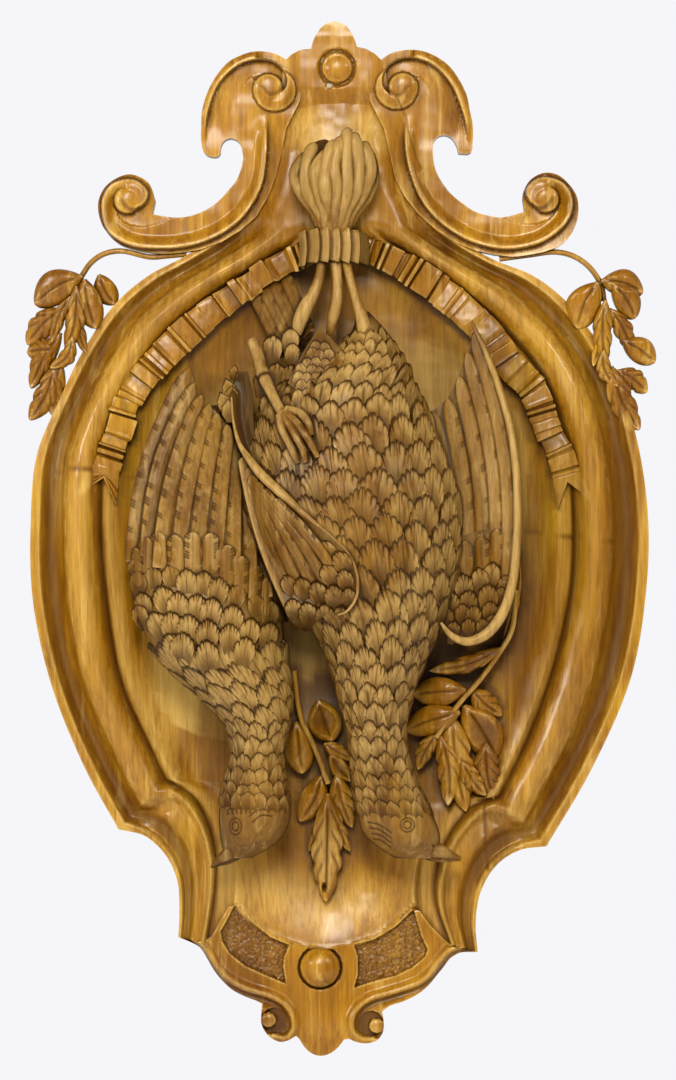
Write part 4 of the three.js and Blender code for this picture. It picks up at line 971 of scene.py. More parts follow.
# Leaf sprays: a stem, then each leaf's foot, tip, half width, height, bend and other settings
SHOULDERS = [
    ([(186, 253), (165, 255), (150, 256), (120, 250), (103, 253), (90, 262), (79, 278)], [
        ((60, 332), (30, 388), 11, 28, 3, {}), ((54, 350), (26, 352), 12, 29, 2, {}),
        ((54, 366), (29, 420), 12, 30, -4, {"curl": 2}), ((60, 362), (52, 416), 10, 29, 2, {}),
        ((62, 308), (26, 344), 13, 30, 3, {}), ((98, 274), (114, 304), 12, 28, 2, {"blunt": 0.8}),
        ((82, 276), (34, 304), 17, 33, 5, {"blunt": 0.8}),
        ((84, 279), (95, 328), 14, 35, 2, {"blunt": 0.9}),
        ((74, 300), (86, 354), 7, 32, 3, {}), ((70, 296), (51, 342), 7, 33, 3, {}),
        ((76, 286), (66, 350), 10, 36, -4, {}), ((72, 336), (50, 368), 8, 35, -7, {"curl": 2}),
    ]),
    ([(500, 258), (530, 254), (556, 251), (574, 255), (590, 266), (602, 284), (605, 300)], [
        ((618, 370), (648, 392), 11, 28, -3, {}), ((612, 366), (640, 430), 13, 30, 4, {"curl": 2}),
        ((624, 340), (656, 362), 13, 30, -2, {"blunt": 0.8}), ((610, 308), (632, 350), 10, 31, -3, {}),
        ((602, 280), (644, 292), 14, 32, -4, {"blunt": 0.8}),
        ((614, 284), (636, 318), 13, 34, -3, {"blunt": 0.9}),
        ((598, 282), (578, 328), 17, 34, 4, {"blunt": 0.9}), ((602, 312), (594, 366), 7, 32, -3, {}),
        ((606, 300), (606, 362), 10, 35, 3, {}), ((604, 350), (618, 386), 8, 34, 6, {"curl": 2}),
    ]),
]


def shoulder_leaves():
    piece = Piece("shoulder_leaves", **golden)
    for stem, leaves in SHOULDERS:
        add_stem(piece, stem, 14, 24)
        for k, (foot_at, tip, half, high, bend, extra) in enumerate(leaves):
            add_leaf(piece, foot_at, tip, half, 11 + 0.25 * k, high, bend=bend, **{"blunt": 0.65, **extra})
    return piece


SPRAYS = [
    ([(294, 671), (301, 718), (316, 751), (328, 784)], [
        ((322, 776), (300, 822), 14, 31, -3, {"blunt": 0.8}), ((336, 776), (352, 828), 12, 31, 2, {}),
        ((326, 800), (309, 852), 9, 31, -4, {}), ((330, 800), (350, 852), 9, 31, 4, {}),
        ((328, 794), (326, 902), 16, 33, 0, {"blunt": 0.7}),
        ((296, 722), (302, 774), 15, 36, 0, {"blunt": 0.9}),
        ((318, 700), (332, 742), 17, 36, 1, {"cup": 4.5, "blunt": 0.9}),
        ((324, 744), (352, 760), 8, 35, 0, {}), ((330, 754), (352, 782), 9, 34, 2, {"cup": 2.5}),
    ]),
    ([(516, 590), (512, 630), (500, 652), (480, 680), (459, 704), (436, 738)], [
        ((464, 706), (496, 760), 19, 33, -3, {"cup": 2.5, "blunt": 0.8}),
        ((486, 744), (494, 800), 14, 31, 3, {}),
        ((472, 690), (502, 716), 12, 33, 2, {}), ((452, 716), (466, 812), 18, 34, 3, {}),
        ((440, 736), (448, 806), 12, 36, -5, {"curl": 2}), ((438, 734), (418, 770), 9, 35, 3, {}),
        ((466, 690), (413, 694), 15, 38, 0, {"blunt": 0.9}),
        ((460, 712), (406, 730), 15, 38, 1, {"blunt": 0.9}),
        ((502, 648), (429, 671), 9, 39, -5, {}), ((519, 556), (500, 655), 5, 36, -5, {}),
        ((462, 762), (486, 796), 10, 35, 2, {}),
    ]),
]


def lower_leaves():
    piece = Piece("spray_leaves", **golden)
    for stem, leaves in SPRAYS:
        add_stem(piece, stem, 12, 37)
        for foot_at, tip, half, high, bend, extra in leaves:
            add_leaf(piece, foot_at, tip, half, 12, high, bend=bend, fall=7, **extra)
    return piece


# Birds: bodies. Stations run from tail to head: column, row, half width, back, front.
LEFT_BODY = [
    (222, 405, 10, 18, 40), (212, 440, 30, 12, 58), (206, 490, 54, 10, 72), (207, 550, 68, 10, 84),
    (210, 610, 72, 10, 92), (222, 655, 64, 14, 92), (243, 690, 48, 24, 88), (257, 722, 32, 34, 82),
    (258, 755, 26, 38, 76), (255, 788, 33, 36, 76), (255, 815, 36, 36, 76), (250, 840, 29, 40, 70),
    (239, 857, 13, 48, 62),
]
RIGHT_BODY = [
    (362, 312, 7, 38, 58), (369, 333, 19, 16, 70), (361, 362, 46, 12, 80), (344, 395, 75, 10, 88),
    (346, 450, 98, 10, 100), (352, 510, 106, 10, 108), (360, 565, 96, 10, 110), (374, 615, 68, 12, 104),
    (377, 655, 49, 24, 97), (375, 695, 36, 38, 92), (377, 735, 28, 44, 86), (383, 775, 31, 42, 84),
    (393, 808, 37, 40, 84), (403, 836, 37, 42, 80), (414, 857, 20, 50, 68),
]
NECK_END = 756


class Body:
    """A rounded body whose front is measured by arc across from its middle line, and by row."""

    def __init__(self, stations):
        s = np.array(stations, float)
        t = np.linspace(0, len(s) - 1, 600)
        i = np.clip(t.astype(int), 0, len(s) - 2)
        w = (t - i)[:, None]
        q = np.vstack([s[:1], s, s[-1:]])
        a, b, c, d = q[i], q[i + 1], q[i + 2], q[i + 3]
        self.table = b + 0.5 * w * (c - a + w * (2 * a - 5 * b + 4 * c - d + w * (3 * (b - c) + d - a)))
        self.rows = self.table[:, 1]
        wide, deep = self.table[:, 2] * SQUARE, (self.table[:, 4] - self.table[:, 3]) / 2
        self.quarter = math.pi / 4 * (3 * (wide + deep) - np.sqrt((3 * wide + deep) * (wide + 3 * deep)))

    def station(self, row):
        """Centre, half width, back and front at each row."""
        return [np.interp(row, self.rows, self.table[:, k]) for k in (0, 2, 3, 4)]

    def shell(self, row, angle):
        """Points on the skin, where a right angle is the middle of the front."""
        centre, half, back, front = self.station(row)
        return place(centre + half * np.cos(angle), row, lerp(back, front, 0.5 + 0.5 * np.sin(angle)))

    def on(self, arc, row, lift):
        """Points lifted off the front, at arcs from the middle line."""
        quarter = np.interp(row, self.rows, self.quarter)
        angle = math.pi / 2 * (1 - arc / quarter)
        here = self.shell(row, angle)
        turn = self.shell(row, angle - 0.02) - here
        down = self.shell(row + 1.0, angle) - here
        normal = np.cross(down, turn)
        normal /= np.linalg.norm(normal, axis=-1, keepdims=True) + 1e-9
        return here + normal * np.asarray(lift)[..., None]

    def height(self, column, row):
        """The front's height over the plan."""
        centre, half, back, front = self.station(row)
        share = np.clip((column - centre) / half, -1, 1)
        return lerp(back, front, 0.5 + 0.5 * np.sqrt(1 - share * share))


LEFT_FORM = Body(LEFT_BODY)
RIGHT_FORM = Body(RIGHT_BODY)


def add_trunk(piece, body):
    """The plain body under the feathers, from the tail to the neck."""
    row = np.linspace(body.rows[0], NECK_END + 4, 110)[:, None]
    angle = np.linspace(0, 2 * math.pi, 64, endpoint=False)[None]
    # The body is darkened with painted shade where it shows between the feathers
    add_tube(piece, body.shell(row + 0 * angle, angle + 0 * row), cut=0.35)


def add_head(piece, body, eye, lines, beak):
    """A smooth head with incised lines, an eye in a ring and a bill in two halves."""
    row = np.linspace(NECK_END, body.rows[-1], 130)[:, None]
    angle = np.linspace(0, 2 * math.pi, 190, endpoint=False)[None]
    row, angle = row + 0 * angle, angle + 0 * row
    spot = body.shell(row, angle)
    column = spot[..., 0] / SQUARE + CENTRE_COLUMN
    front = np.sin(angle) > 0
    groove = np.zeros(row.shape)
    for line in lines:
        away, along = from_line(column, row, line)
        groove = np.maximum(groove, bell(away, 0, 0.8) * (1 - smooth(np.abs(along - 0.5), 0.42, 0.5)))
    groove = groove * front
    reach = within_oval(column, row, *eye)
    ring, inner = bell(reach, 1.28, 0.17) * front, bell(reach, 0.72, 0.13) * front
    lift = 0.7 * bell(reach, 1.0, 0.16) * front
    lift = lift + np.sqrt(np.clip(1 - (reach / 0.62) ** 2, 0, 1)) * front
    spot = spot + np.array([0, -1, 0]) * (lift - 0.7 * groove - 0.5 * ring - 0.4 * inner)[..., None]
    cut = np.clip(np.maximum(groove, np.maximum(0.8 * ring, 0.8 * inner)), 0, 1)
    add_tube(piece, spot, cut, 0.3 * front)
    for half in beak:
        add_limb(piece, half, 30, 20, 0.85, cut=0.1, tone=-0.1)


def add_limb(piece, points, steps=30, sides=16, flatten=1.0, cut=0.0, tone=0.0, rings=()):
    """A round limb through points of column, row, half width and height."""
    path = curve(points, steps)
    spot = place(path[:, 0], path[:, 1], path[:, 3])
    step = np.gradient(spot, axis=0)
    step /= np.linalg.norm(step, axis=1, keepdims=True)
    side = np.cross(step, [0, -1, 0])
    side /= np.linalg.norm(side, axis=1, keepdims=True)
    out = np.cross(side, step)
    angle = np.linspace(0, 2 * math.pi, sides, endpoint=False)
    share = np.linspace(0, 1, steps)
    pinch = sum((np.exp(-((share - at) * steps / 1.2) ** 2) for at in rings), np.zeros(steps))
    half = (path[:, 2] * (1 - 0.14 * pinch))[:, None, None] * SQUARE
    ring = spot[:, None] + half * (
        side[:, None] * np.cos(angle)[None, :, None] + out[:, None] * np.sin(angle)[None, :, None] * flatten
    )
    add_tube(piece, ring, np.clip(cut + pinch[:, None] + np.zeros(sides), 0, 1), tone)


# Across a feather's tip its notches spread over NOTCH_SPAN of each half; rings of points run from its
# root at 0 to its rim at 1, and the rim turns through TIP_ANGLE degrees on each side.
NOTCH_SPAN = 0.78
FEATHER_RINGS = [0.0, 0.34, 0.58, 0.74, 0.84, 0.89, 0.94, 1.0]
TIP_ANGLE = 106
ROOT_DEPTH = 1.4


def add_feather(piece, on, across, row, length, half, notches, lift, turn, long, dice, tone=0.0):
    """One carved feather: its round, notched tip at this place, and its root buried down the bird."""
    marks = np.linspace(-NOTCH_SPAN, NOTCH_SPAN, notches) * (1 - 0.2 / notches)
    marks = marks + dice.uniform(-0.05, 0.05, notches)
    middles = (marks[1:] + marks[:-1]) / 2
    theta = np.sort(np.concatenate([[-1.0, 1.0], marks, marks - 0.05, marks + 0.05, middles]))[None]
    rho = np.array(FEATHER_RINGS)[:, None]
    deep = dice.uniform(0.5, 1.0, notches)
    notch = np.max(deep * bell(theta[..., None], marks, 0.032), -1)
    lobe = np.min(np.abs(theta[..., None] - marks), -1) * notches / 0.8
    radius = 1 - 0.09 * notch - 0.04 * (1 - np.clip(lobe, 0, 1)) ** 2
    phi = theta * math.radians(TIP_ANGLE)
    rim_a = half * np.sin(phi) * np.abs(np.sin(phi)) ** 0.5 * radius
    rim_b = half * long * (1 - np.cos(phi) * radius)
    a = lerp(theta * half * 0.4, rim_a, rho) + dice.uniform(-0.08, 0.08) * half * rho
    b = lerp(length + 0 * theta, rim_b, rho)
    edge, border = smooth(rho, 0.94, 1.0), smooth(rho, 0.87, 0.96)
    near_rim = smooth(rho, 0.74, 0.9)
    streak = dice.uniform(0, 1, theta.size)[None]
    z = lift * (0.12 + 0.88 * rho ** 1.5) - ROOT_DEPTH * (1 - smooth(rho, 0, FEATHER_RINGS[1]))
    z = z + 0.08 * half * (1 - theta ** 2) * rho
    z = z - 0.4 * lift * notch * near_rim - 0.75 * lift * edge
    z = z - 0.02 * lift * streak * smooth(rho, 0.2, 0.5) * (1 - edge)
    shaft = bell(theta, 0, 0.05) * smooth(rho, 0.3, 0.5) * (1 - smooth(rho, 0.72, 0.86)) * (half > 6)
    # The rim's outline, the notches, the shaft and the root, which runs under the feather above, are
    # darkened with staining and painted shade
    cut = np.maximum(0.95 * notch * near_rim, border) + 0.6 * shaft + 0.1 * streak * (1 - edge)
    cut = np.clip(cut + 0.5 * (1 - smooth(rho, 0.3, 0.74)), 0, 1)
    cos, sin = math.cos(turn), math.sin(turn)
    s = across + a * cos - b * sin
    v = row + (b * cos + a * sin) / SQUARE
    front = on(s, v, z)
    rim = rim_of(*z.shape)
    low = on(s.ravel()[rim], v.ravel()[rim], np.full(len(rim), -ROOT_DEPTH))
    # Painted shade towards the root and painted highlight towards the tip
    shade = tone + 0.75 * smooth(rho, 0.5, 0.86) - 0.3 + 0 * theta
    add_relief(piece, front, low, cut, shade, 1.0)


def plumage(piece, body, table, dice):
    """Staggered rows of feathers down a body, from a table by row of their sizes."""
    table = np.array(table, float)
    row, index = table[0, 0], 0
    while row < table[-1, 0]:
        pitch, step, length, half, notches, lift, long, pale = (
            np.interp(row, table[:, 0], table[:, k]) for k in range(1, 9)
        )
        quarter = float(np.interp(row, body.rows, body.quarter))
        count = int(quarter / pitch) + 1
        for k in range(-count, count + 1):
            arc = (k + (0.5 if index % 2 else 0) + dice.uniform(-0.12, 0.12)) * pitch
            at = row + dice.uniform(-0.24, 0.24) * step
            grow = dice.uniform(0.9, 1.12)
            tilt = dice.uniform(-0.12, 0.12) + 0.3 * arc / quarter
            number = max(1, int(round(notches + dice.uniform(-1.2, 1.2))))
            # Tone from the table: painted shade where it is below 0
            tone = pale + dice.uniform(-0.2, 0.2)
            if abs(arc) < 0.97 * quarter:
                grown = half * grow
                add_feather(piece, body.on, arc, at, length, grown, number, lift, tilt, long, dice, tone)
        row, index = row + step, index + 1


# Row, then pitch across, row step in squares, length, half width, notches, lift, slenderness and tone,
# where a tone below 0 is painted shade, most on the right bird's breast
LEFT_PLUMAGE = [
    (640, 20, 19, 38, 11.6, 8, 2.3, 1.2, 0.5), (690, 16, 18, 32, 9.4, 7, 2.0, 1.3, 0.5),
    (716, 11, 17, 26, 6.6, 5, 1.8, 1.5, 0.25), (762, 9.5, 15, 22, 5.5, 4, 1.4, 1.5, 0.15),
    (784, 8, 12, 15, 4.8, 3, 1.0, 1.3, 0.1), (798, 8, 12, 14, 4.6, 3, 0.9, 1.3, 0.1),
]
RIGHT_PLUMAGE = [
    (329, 7.5, 11, 14, 4.4, 2, 1.2, 1.15, 0.0), (350, 9, 13, 18, 5, 3, 1.4, 1.2, 0.0),
    (385, 12, 17, 26, 6.8, 5, 1.8, 1.35, -0.1), (415, 18, 24, 40, 10.4, 8, 2.6, 1.5, -0.3),
    (570, 18, 25, 40, 10.4, 8, 2.6, 1.6, -0.3), (640, 15.5, 22, 34, 9, 7, 2.2, 1.6, -0.1),
    (690, 12, 19, 30, 7, 5, 1.9, 1.65, 0.0), (720, 9.5, 17, 27, 5.6, 4, 1.6, 1.9, 0.05),
    (770, 9.5, 15, 24, 5.4, 4, 1.4, 1.6, 0.0), (792, 8, 12, 15, 4.6, 3, 1.0, 1.3, 0.0),
    (800, 8, 12, 15, 4.6, 3, 1.0, 1.3, 0.0),
]


# Eyes by centre and radii, and bills in two halves: points of column, row, half width and height
LEFT_EYE = ((236, 825), (4.6, 6.4))
LEFT_BILL = [
    [
        (249, 836, 6, 54), (238, 845, 8.6, 58.5), (228, 853, 6.8, 60), (218, 860, 3.6, 58),
        (211, 866, 0.8, 56),
    ],
    [
        (251, 843, 6, 52), (239, 851, 6.6, 56), (229, 858, 5, 56.5), (219, 863, 2.6, 55),
        (211.5, 867, 0.6, 54),
    ],
]
RIGHT_EYE = ((407, 823), (5.4, 5.4))
RIGHT_BILL = [
    [(413, 838, 7, 57), (427, 846, 9, 62), (440, 850, 7.2, 63.5), (451, 854, 4.2, 61), (461, 857, 0.9, 58)],
    [(413, 845, 7, 55), (428, 852, 7, 59), (441, 856, 5.2, 60), (451, 858, 3, 59), (460.5, 859.5, 0.7, 57)],
]


def comb(start, end, count, length):
    """A row of short upright ticks with a line over them."""
    ticks = []
    for t in np.linspace(0, 1, count):
        column, row = lerp(start[0], end[0], t), lerp(start[1], end[1], t)
        ticks.append([(column, row), (column + 0.8, row + length)])
    return ticks + [[start, end]]


def left_bird():
    piece = Piece("left_bird", **grey)
    add_trunk(piece, LEFT_FORM)
    plumage(piece, LEFT_FORM, LEFT_PLUMAGE, np.random.RandomState(21))
    lines = comb((252, 796), (276, 786), 6, 7)
    lines += comb((228, 808), (250, 806), 6, 6)
    lines += comb((256, 806), (272, 800), 5, 6)
    for k in range(3):
        cheek = [(246 + 3 * k, 810 + 6 * k), (256 + 3 * k, 802 + 6 * k), (268 + 3 * k, 803 + 6 * k)]
        lines.append(curve(cheek, 12))
    lines.append(curve([(226, 850), (221, 856), (219, 862)], 10))
    add_head(piece, LEFT_FORM, LEFT_EYE, lines, LEFT_BILL)
    return piece


def right_bird():
    piece = Piece("right_bird", **grey)
    add_trunk(piece, RIGHT_FORM)
    plumage(piece, RIGHT_FORM, RIGHT_PLUMAGE, np.random.RandomState(22))
    lines = comb((363, 803), (386, 806), 7, 7)
    for k in range(4):
        lines.append(curve([(366 + 2 * k, 820 + 6 * k), (379, 823 + 5 * k), (392, 832 + 5 * k)], 12))
    lines += comb((394, 799), (424, 806), 8, 5)
    lines.append(curve([(431, 842), (436, 850), (432, 860)], 10))
    add_head(piece, RIGHT_FORM, RIGHT_EYE, lines, RIGHT_BILL)
    return piece


# Birds: wings
STRIP_POINTS_ACROSS = 13
QUILL_TAPER = 3.2
COVERT_LENGTH = 52
RUMP_TOP = 330


def add_strip(
    piece, foot, tip, bow, half, surface, dice,
    lift=1.6, nicks=6, side=1, drop=8, steps=170, tuck=0.0, taper=1.0,
):
    """A long feather from its foot to its round tip, with groups of slanting nicks along an edge.

    The surface gives heights from columns, rows and places along the feather. The root dips over the
    share tuck of the length, and a larger taper makes the tip more pointed.
    """
    foot, tip = np.array(foot[:2], float), np.array(tip[:2], float)
    length = np.hypot(*(tip - foot))
    t = np.linspace(0, 1, steps)[:, None]
    u = np.linspace(-1, 1, STRIP_POINTS_ACROSS)[None]
    line = lerp(foot, tip, t) + np.array([[bow, 0]]) * np.sin(math.pi * t)
    end = np.clip(1 - (1 - t) * length / (half * taper), 0, 1)
    width = half * np.sqrt(np.clip(1 - end ** 2, 0.03, 1))
    column, row = beside(line, width * u)
    us = side * u
    nick = np.zeros(column.shape)
    for k in range(nicks):
        at = lerp(0.1 + tuck, 0.96, (k + 0.5 + dice.uniform(-0.2, 0.2)) / nicks)
        for j in range(dice.randint(2, 4)):
            slant = t * length - at * length - 2.7 * j - 3.0 * us ** 2
            nick = np.maximum(nick, bell(slant, 0, 1.05) * smooth(us, 0.2, 0.5))
    height = surface(column, row, t) + lift * np.sqrt(np.clip(1 - 0.8 * u ** 2, 0, 1)) - 0.6 * nick
    height = height - (lift + 2.5) * (1 - smooth(t, 0, tuck + 0.12))
    height = height + 0.3 * bell(u, -0.1 * side, 0.14) + 0.12 * ripple(column, row, 4, 30)
    edge = smooth(np.abs(u), 0.8, 1.0)
    shaft = bell(np.abs(u + 0.12 * side), 0.1, 0.07)
    # The nicks are darkened with staining and painted shade, the edges with painted shade where each
    # feather meets the next, and the middle painted paler as painted highlight
    cut = np.clip(0.95 * nick + 0.85 * edge + 0.3 * shaft, 0, 1)
    tone = 0.35 * (1 - u ** 2) + 0.3 * ripple(column, row, 18, 31)
    front = place(column, row, height)
    add_relief(piece, front, sunk(front, drop), cut, tone, 1.0)


def between(foot, tip):
    """A feather's surface that runs straight from the height of its foot to that of its tip."""
    return lambda column, row, t: lerp(foot[2], tip[2], t)


def over(height, lift=0):
    """A feather's surface that stays a lift above heights given over the plan."""
    return lambda column, row, t: height(column, row) + lift


def plain(height, cut):
    """A plate's surface with one depth of darkening, painted shade where it shows between the feathers on
    it.
    """
    return lambda column, row: (height(column, row), cut, 0.0)


def incline(level, rate):
    """Heights over the plan that rise by a rate with each row below the rump's top."""
    return lambda column, row: level + rate * (row - RUMP_TOP) + 0 * column


def root_of(foot, tip, share):
    """A quill's root, as far from its tip as a share of the quill's length."""
    return lerp(np.array(tip, float), np.array(foot, float), share)


WEB_SINK = 0.8


def add_web(piece, quills, back):
    """The web that long feathers lie on, through quills of foot, tip and bow."""
    t = np.linspace(0, 1, 40)[:, None]
    lines = []
    for foot, tip, bow in quills:
        straight = lerp(np.array(foot, float), np.array(tip, float), t)
        lines.append(straight + np.array([[bow, 0, 0]]) * np.sin(math.pi * t))
    rows = []
    for share in np.linspace(0, len(lines) - 1, 5 * len(lines)):
        index = int(share)
        rows.append(lerp(lines[index], lines[min(index + 1, len(lines) - 1)], share - index))
    grid = np.array(rows)
    # The web is darkened with painted shade where it shows between the long feathers
    add_relief(piece, place(grid[..., 0], grid[..., 1], grid[..., 2] - WEB_SINK), back, 0.5)


# Quills run from a foot to a tip, each with column, row and height, and have a bow. Coverts have the
# column and row of the tip and a half width. Fans have column, row, half width and notches.
LEFT_WING = [
    ((134, 562, 60), (190, 368, 42), -14), ((149, 556, 73), (195, 384, 46), -12),
    ((165, 552, 82), (202, 396, 50), -9), ((182, 552, 87), (210, 405, 54), -6),
    ((199, 552, 89), (218, 414, 56), -3), ((217, 554, 90), (228, 425, 56), -1),
    ((234, 562, 89), (233, 436, 54), 1), ((250, 572, 85), (237, 446, 50), 3),
    ((264, 584, 78), (241, 456, 46), 5),
]
LEFT_COVERTS = [
    (136, 548, 6.5), (146, 537, 7.5), (159, 532, 8), (176, 535, 8.6), (193.5, 532, 8.6),
    (212, 533, 8.6), (229, 545, 8), (243, 556, 7.6), (257, 566, 7), (269, 577, 6),
]
LEFT_FANS = [
    (135, 554, 7, 4), (139, 566, 8.5, 4), (152, 563, 8.5, 4), (169, 566, 9, 4), (187, 568, 9, 4),
    (205, 570, 9, 5), (223, 577, 9.5, 5), (241, 584, 9, 5), (257, 594, 8.5, 4), (271, 600, 7.5, 3),
    (142, 588, 9, 4), (160, 587, 9.5, 5), (179, 588, 9.5, 5), (198, 592, 10, 5), (217, 598, 10, 5),
    (236, 604, 10, 5), (254, 614, 9, 4), (271, 620, 8, 3), (137, 604, 8.5, 4), (151, 610, 9.5, 4),
    (170, 608, 10, 5), (190, 612, 10.5, 5), (210, 618, 10.5, 6), (230, 622, 10.5, 6), (248, 634, 9.5, 4),
    (166, 632, 10.5, 5), (184, 632, 11, 6), (205, 640, 11, 6),
]
LEFT_PLATE = [
    (130, 556), (140, 545), (160, 540), (215, 540), (240, 556), (262, 572), (280, 590), (288, 622),
    (270, 618), (245, 626), (217, 638), (190, 640), (172, 640), (155, 626), (142, 608), (133, 592),
    (131, 575),
]
LEFT_ARCH_COLUMNS = [126, 134, 149, 165, 182, 199, 217, 234, 250, 266, 282]
LEFT_ARCH_HEIGHTS = [48, 59, 72, 81, 86, 88, 89, 88, 85, 78, 68]
LEFT_WING_MIDDLE = 205


def left_wing_height(column, row):
    """The arch of the wing, which runs down into the bird's body."""
    arch = np.interp(column, LEFT_ARCH_COLUMNS, LEFT_ARCH_HEIGHTS)
    return lerp(arch, np.maximum(LEFT_FORM.height(column, row) + 2.5, 44), smooth(row, 560, 655))


def add_fan(piece, height, column, row, half, notches, turn, dice, lift=3.0, long=1.15, tone=0.0):
    """A short round feather on a surface over the plan, sized in squares."""
    half = half * SQUARE

    def on(across, down, rise):
        return place(across / SQUARE, down, height(across / SQUARE, down) + rise)

    add_feather(piece, on, column * SQUARE, row, half * 3.2, half, notches, lift, turn, long, dice, tone)


def left_wing():
    piece = Piece("left_wing", **grey)
    dice = np.random.RandomState(31)
    add_web(piece, LEFT_WING, 18)
    add_plate(piece, LEFT_PLATE, 30, plain(left_wing_height, 0.4), 4.0)
    for k, (foot_at, tip, bow) in enumerate(LEFT_WING):
        root = root_of(foot_at, tip, 1.0 if k < 2 else 1.1)
        add_strip(
            piece, root, tip, bow, 8.4 - 0.15 * k, between(root, tip), dice,
            nicks=7 if k < 6 else 3, side=-1, taper=QUILL_TAPER,
        )
    for column, row, half in LEFT_COVERTS:
        lean = (column - LEFT_WING_MIDDLE) * 0.05
        foot_at = column - lean, row + COVERT_LENGTH
        add_strip(
            piece, foot_at, (column, row), 0, half, over(left_wing_height), dice,
            lift=3.0, nicks=3, drop=5, steps=80, side=1 if column > 200 else -1, tuck=0.3,
        )
    for column, row, half, notches in LEFT_FANS:
        at = column + dice.uniform(-1.5, 1.5), row + dice.uniform(-3, 3)
        grown, number = half * dice.uniform(1.05, 1.25), notches + dice.randint(1, 4)
        turn = (column - LEFT_WING_MIDDLE) * 0.002 + dice.uniform(-0.2, 0.2)
        turn = turn - 0.4 * (column < 170) * smooth(row, 570, 620)
        shade = dice.uniform(-0.1, 0.25)
        add_fan(piece, left_wing_height, *at, grown, number, turn, dice, tone=shade)
    return piece


SPREAD_WING = [
    ((452, 566, 62), (432, 411, 46), 4), ((466, 556, 62), (447, 399, 46), 6),
    ((480, 552, 63), (459, 377, 46), 8), ((493, 552, 65), (467, 352, 46), 11),
    ((504, 556, 68), (474, 332, 46), 14),
]
SPREAD_NICKS = [0, 5, 5, 5, 4]
SPREAD_BORDER = ((512, 590, 66), (481, 345, 44), 14)
SPREAD_COVERTS = [(453, 552, 6), (465, 541, 7), (481, 537, 7.5), (496, 529, 7), (507, 541, 5)]
SPREAD_FANS = [
    (447, 574, 7, 4), (462, 572, 8, 5), (478, 566, 8, 4), (494, 562, 8, 4), (506, 572, 7, 3),
    (453, 590, 7.5, 4), (469, 588, 8, 5), (486, 581, 8.5, 6), (500, 586, 7, 4), (446, 606, 6, 3),
    (460, 604, 7, 4), (475, 602, 7, 4), (490, 600, 7, 4), (502, 602, 5, 3), (455, 618, 6, 3),
    (468, 618, 6, 3), (481, 616, 6, 3), (493, 614, 5, 3),
]
SPREAD_EDGE = [
    (471, 321, 1.2, 46), (477, 334, 2.4, 48), (487, 356, 3.2, 51), (500, 392, 3.6, 57),
    (510, 430, 3.8, 63), (516, 480, 4, 68), (516, 540, 4.4, 71), (511, 585, 4.8, 74),
    (501, 614, 5.2, 75), (485, 634, 5.2, 76), (466, 641, 4.4, 78), (451, 635, 3.2, 80),
    (440, 622, 1.2, 81),
]


SPREAD_PLATE = [
    (436, 560), (450, 540), (480, 530), (515, 530), (515, 590), (500, 622), (478, 640), (455, 634),
    (438, 612),
]


def spread_height(column, row):
    """The spread wing, low at the quills' tips, high at its edge and sinking at the wrist."""
    return lerp(46, 63, smooth(row, 330, 560)) + 3 * smooth(column, 470, 512) - 4 * smooth(row, 575, 630)


def spread_wing():
    piece = Piece("spread_wing", **grey)
    dice = np.random.RandomState(33)
    add_web(piece, SPREAD_WING + [SPREAD_BORDER], 18)
    add_plate(piece, SPREAD_PLATE, 24, plain(spread_height, 0.5), 4.0)
    for (foot_at, tip, bow), nicks in zip(SPREAD_WING, SPREAD_NICKS):
        root = root_of(foot_at, tip, 1.12)
        add_strip(piece, root, tip, bow, 7.8, between(root, tip), dice, nicks=nicks, taper=QUILL_TAPER)
    for column, row, half in SPREAD_COVERTS:
        foot_at = column - 2, row + COVERT_LENGTH
        add_strip(
            piece, foot_at, (column, row), 2, half, over(spread_height), dice,
            lift=3.2, nicks=2, drop=6, steps=80, tuck=0.45,
        )
    for column, row, half, notches in SPREAD_FANS:
        at = column + dice.uniform(-1, 1), row + dice.uniform(-2, 2)
        grown, number = half * dice.uniform(1.15, 1.3), notches + dice.randint(0, 3)
        add_fan(piece, spread_height, *at, grown, number, dice.uniform(-0.15, 0.2), dice)
    add_limb(piece, SPREAD_EDGE, 120, 18, 0.85, tone=0.25)
    return piece


NEAR_WING = [
    ((300, 628), (243, 458), -8), ((304, 620), (248, 468), -6), ((312, 612), (251, 476), -2),
    ((318, 596), (256, 483), 2), ((326, 584), (263, 490), 4), ((334, 572), (274, 500), 5),
]
NEAR_EDGE = [
    (232, 398, 0.8, 70), (234, 422, 1.2, 76), (240, 444, 2.2, 82), (250, 460, 3.6, 88),
    (262, 475, 4.6, 93), (283, 495, 4.8, 101), (304, 515, 3.6, 107), (330, 536, 2.0, 111),
    (349, 555, 1.6, 114), (357, 576, 1.4, 115), (356, 597, 1.4, 114), (346, 611, 1.2, 112),
    (338, 614, 0.8, 110),
]
NEAR_HOLLOW = [
    (236, 372), (248, 372), (253, 392), (254, 430), (262, 456), (278, 478), (297, 496), (318, 516),
    (339, 536), (352, 552), (340, 548), (318, 530), (296, 512), (270, 490), (248, 466), (238, 446),
    (232, 420), (231, 396),
]
NEAR_ROOTS = [
    (326, 628), (307, 632), (294, 622), (286, 604), (280, 572), (268, 532), (254, 494), (243, 458),
    (234, 420),
]

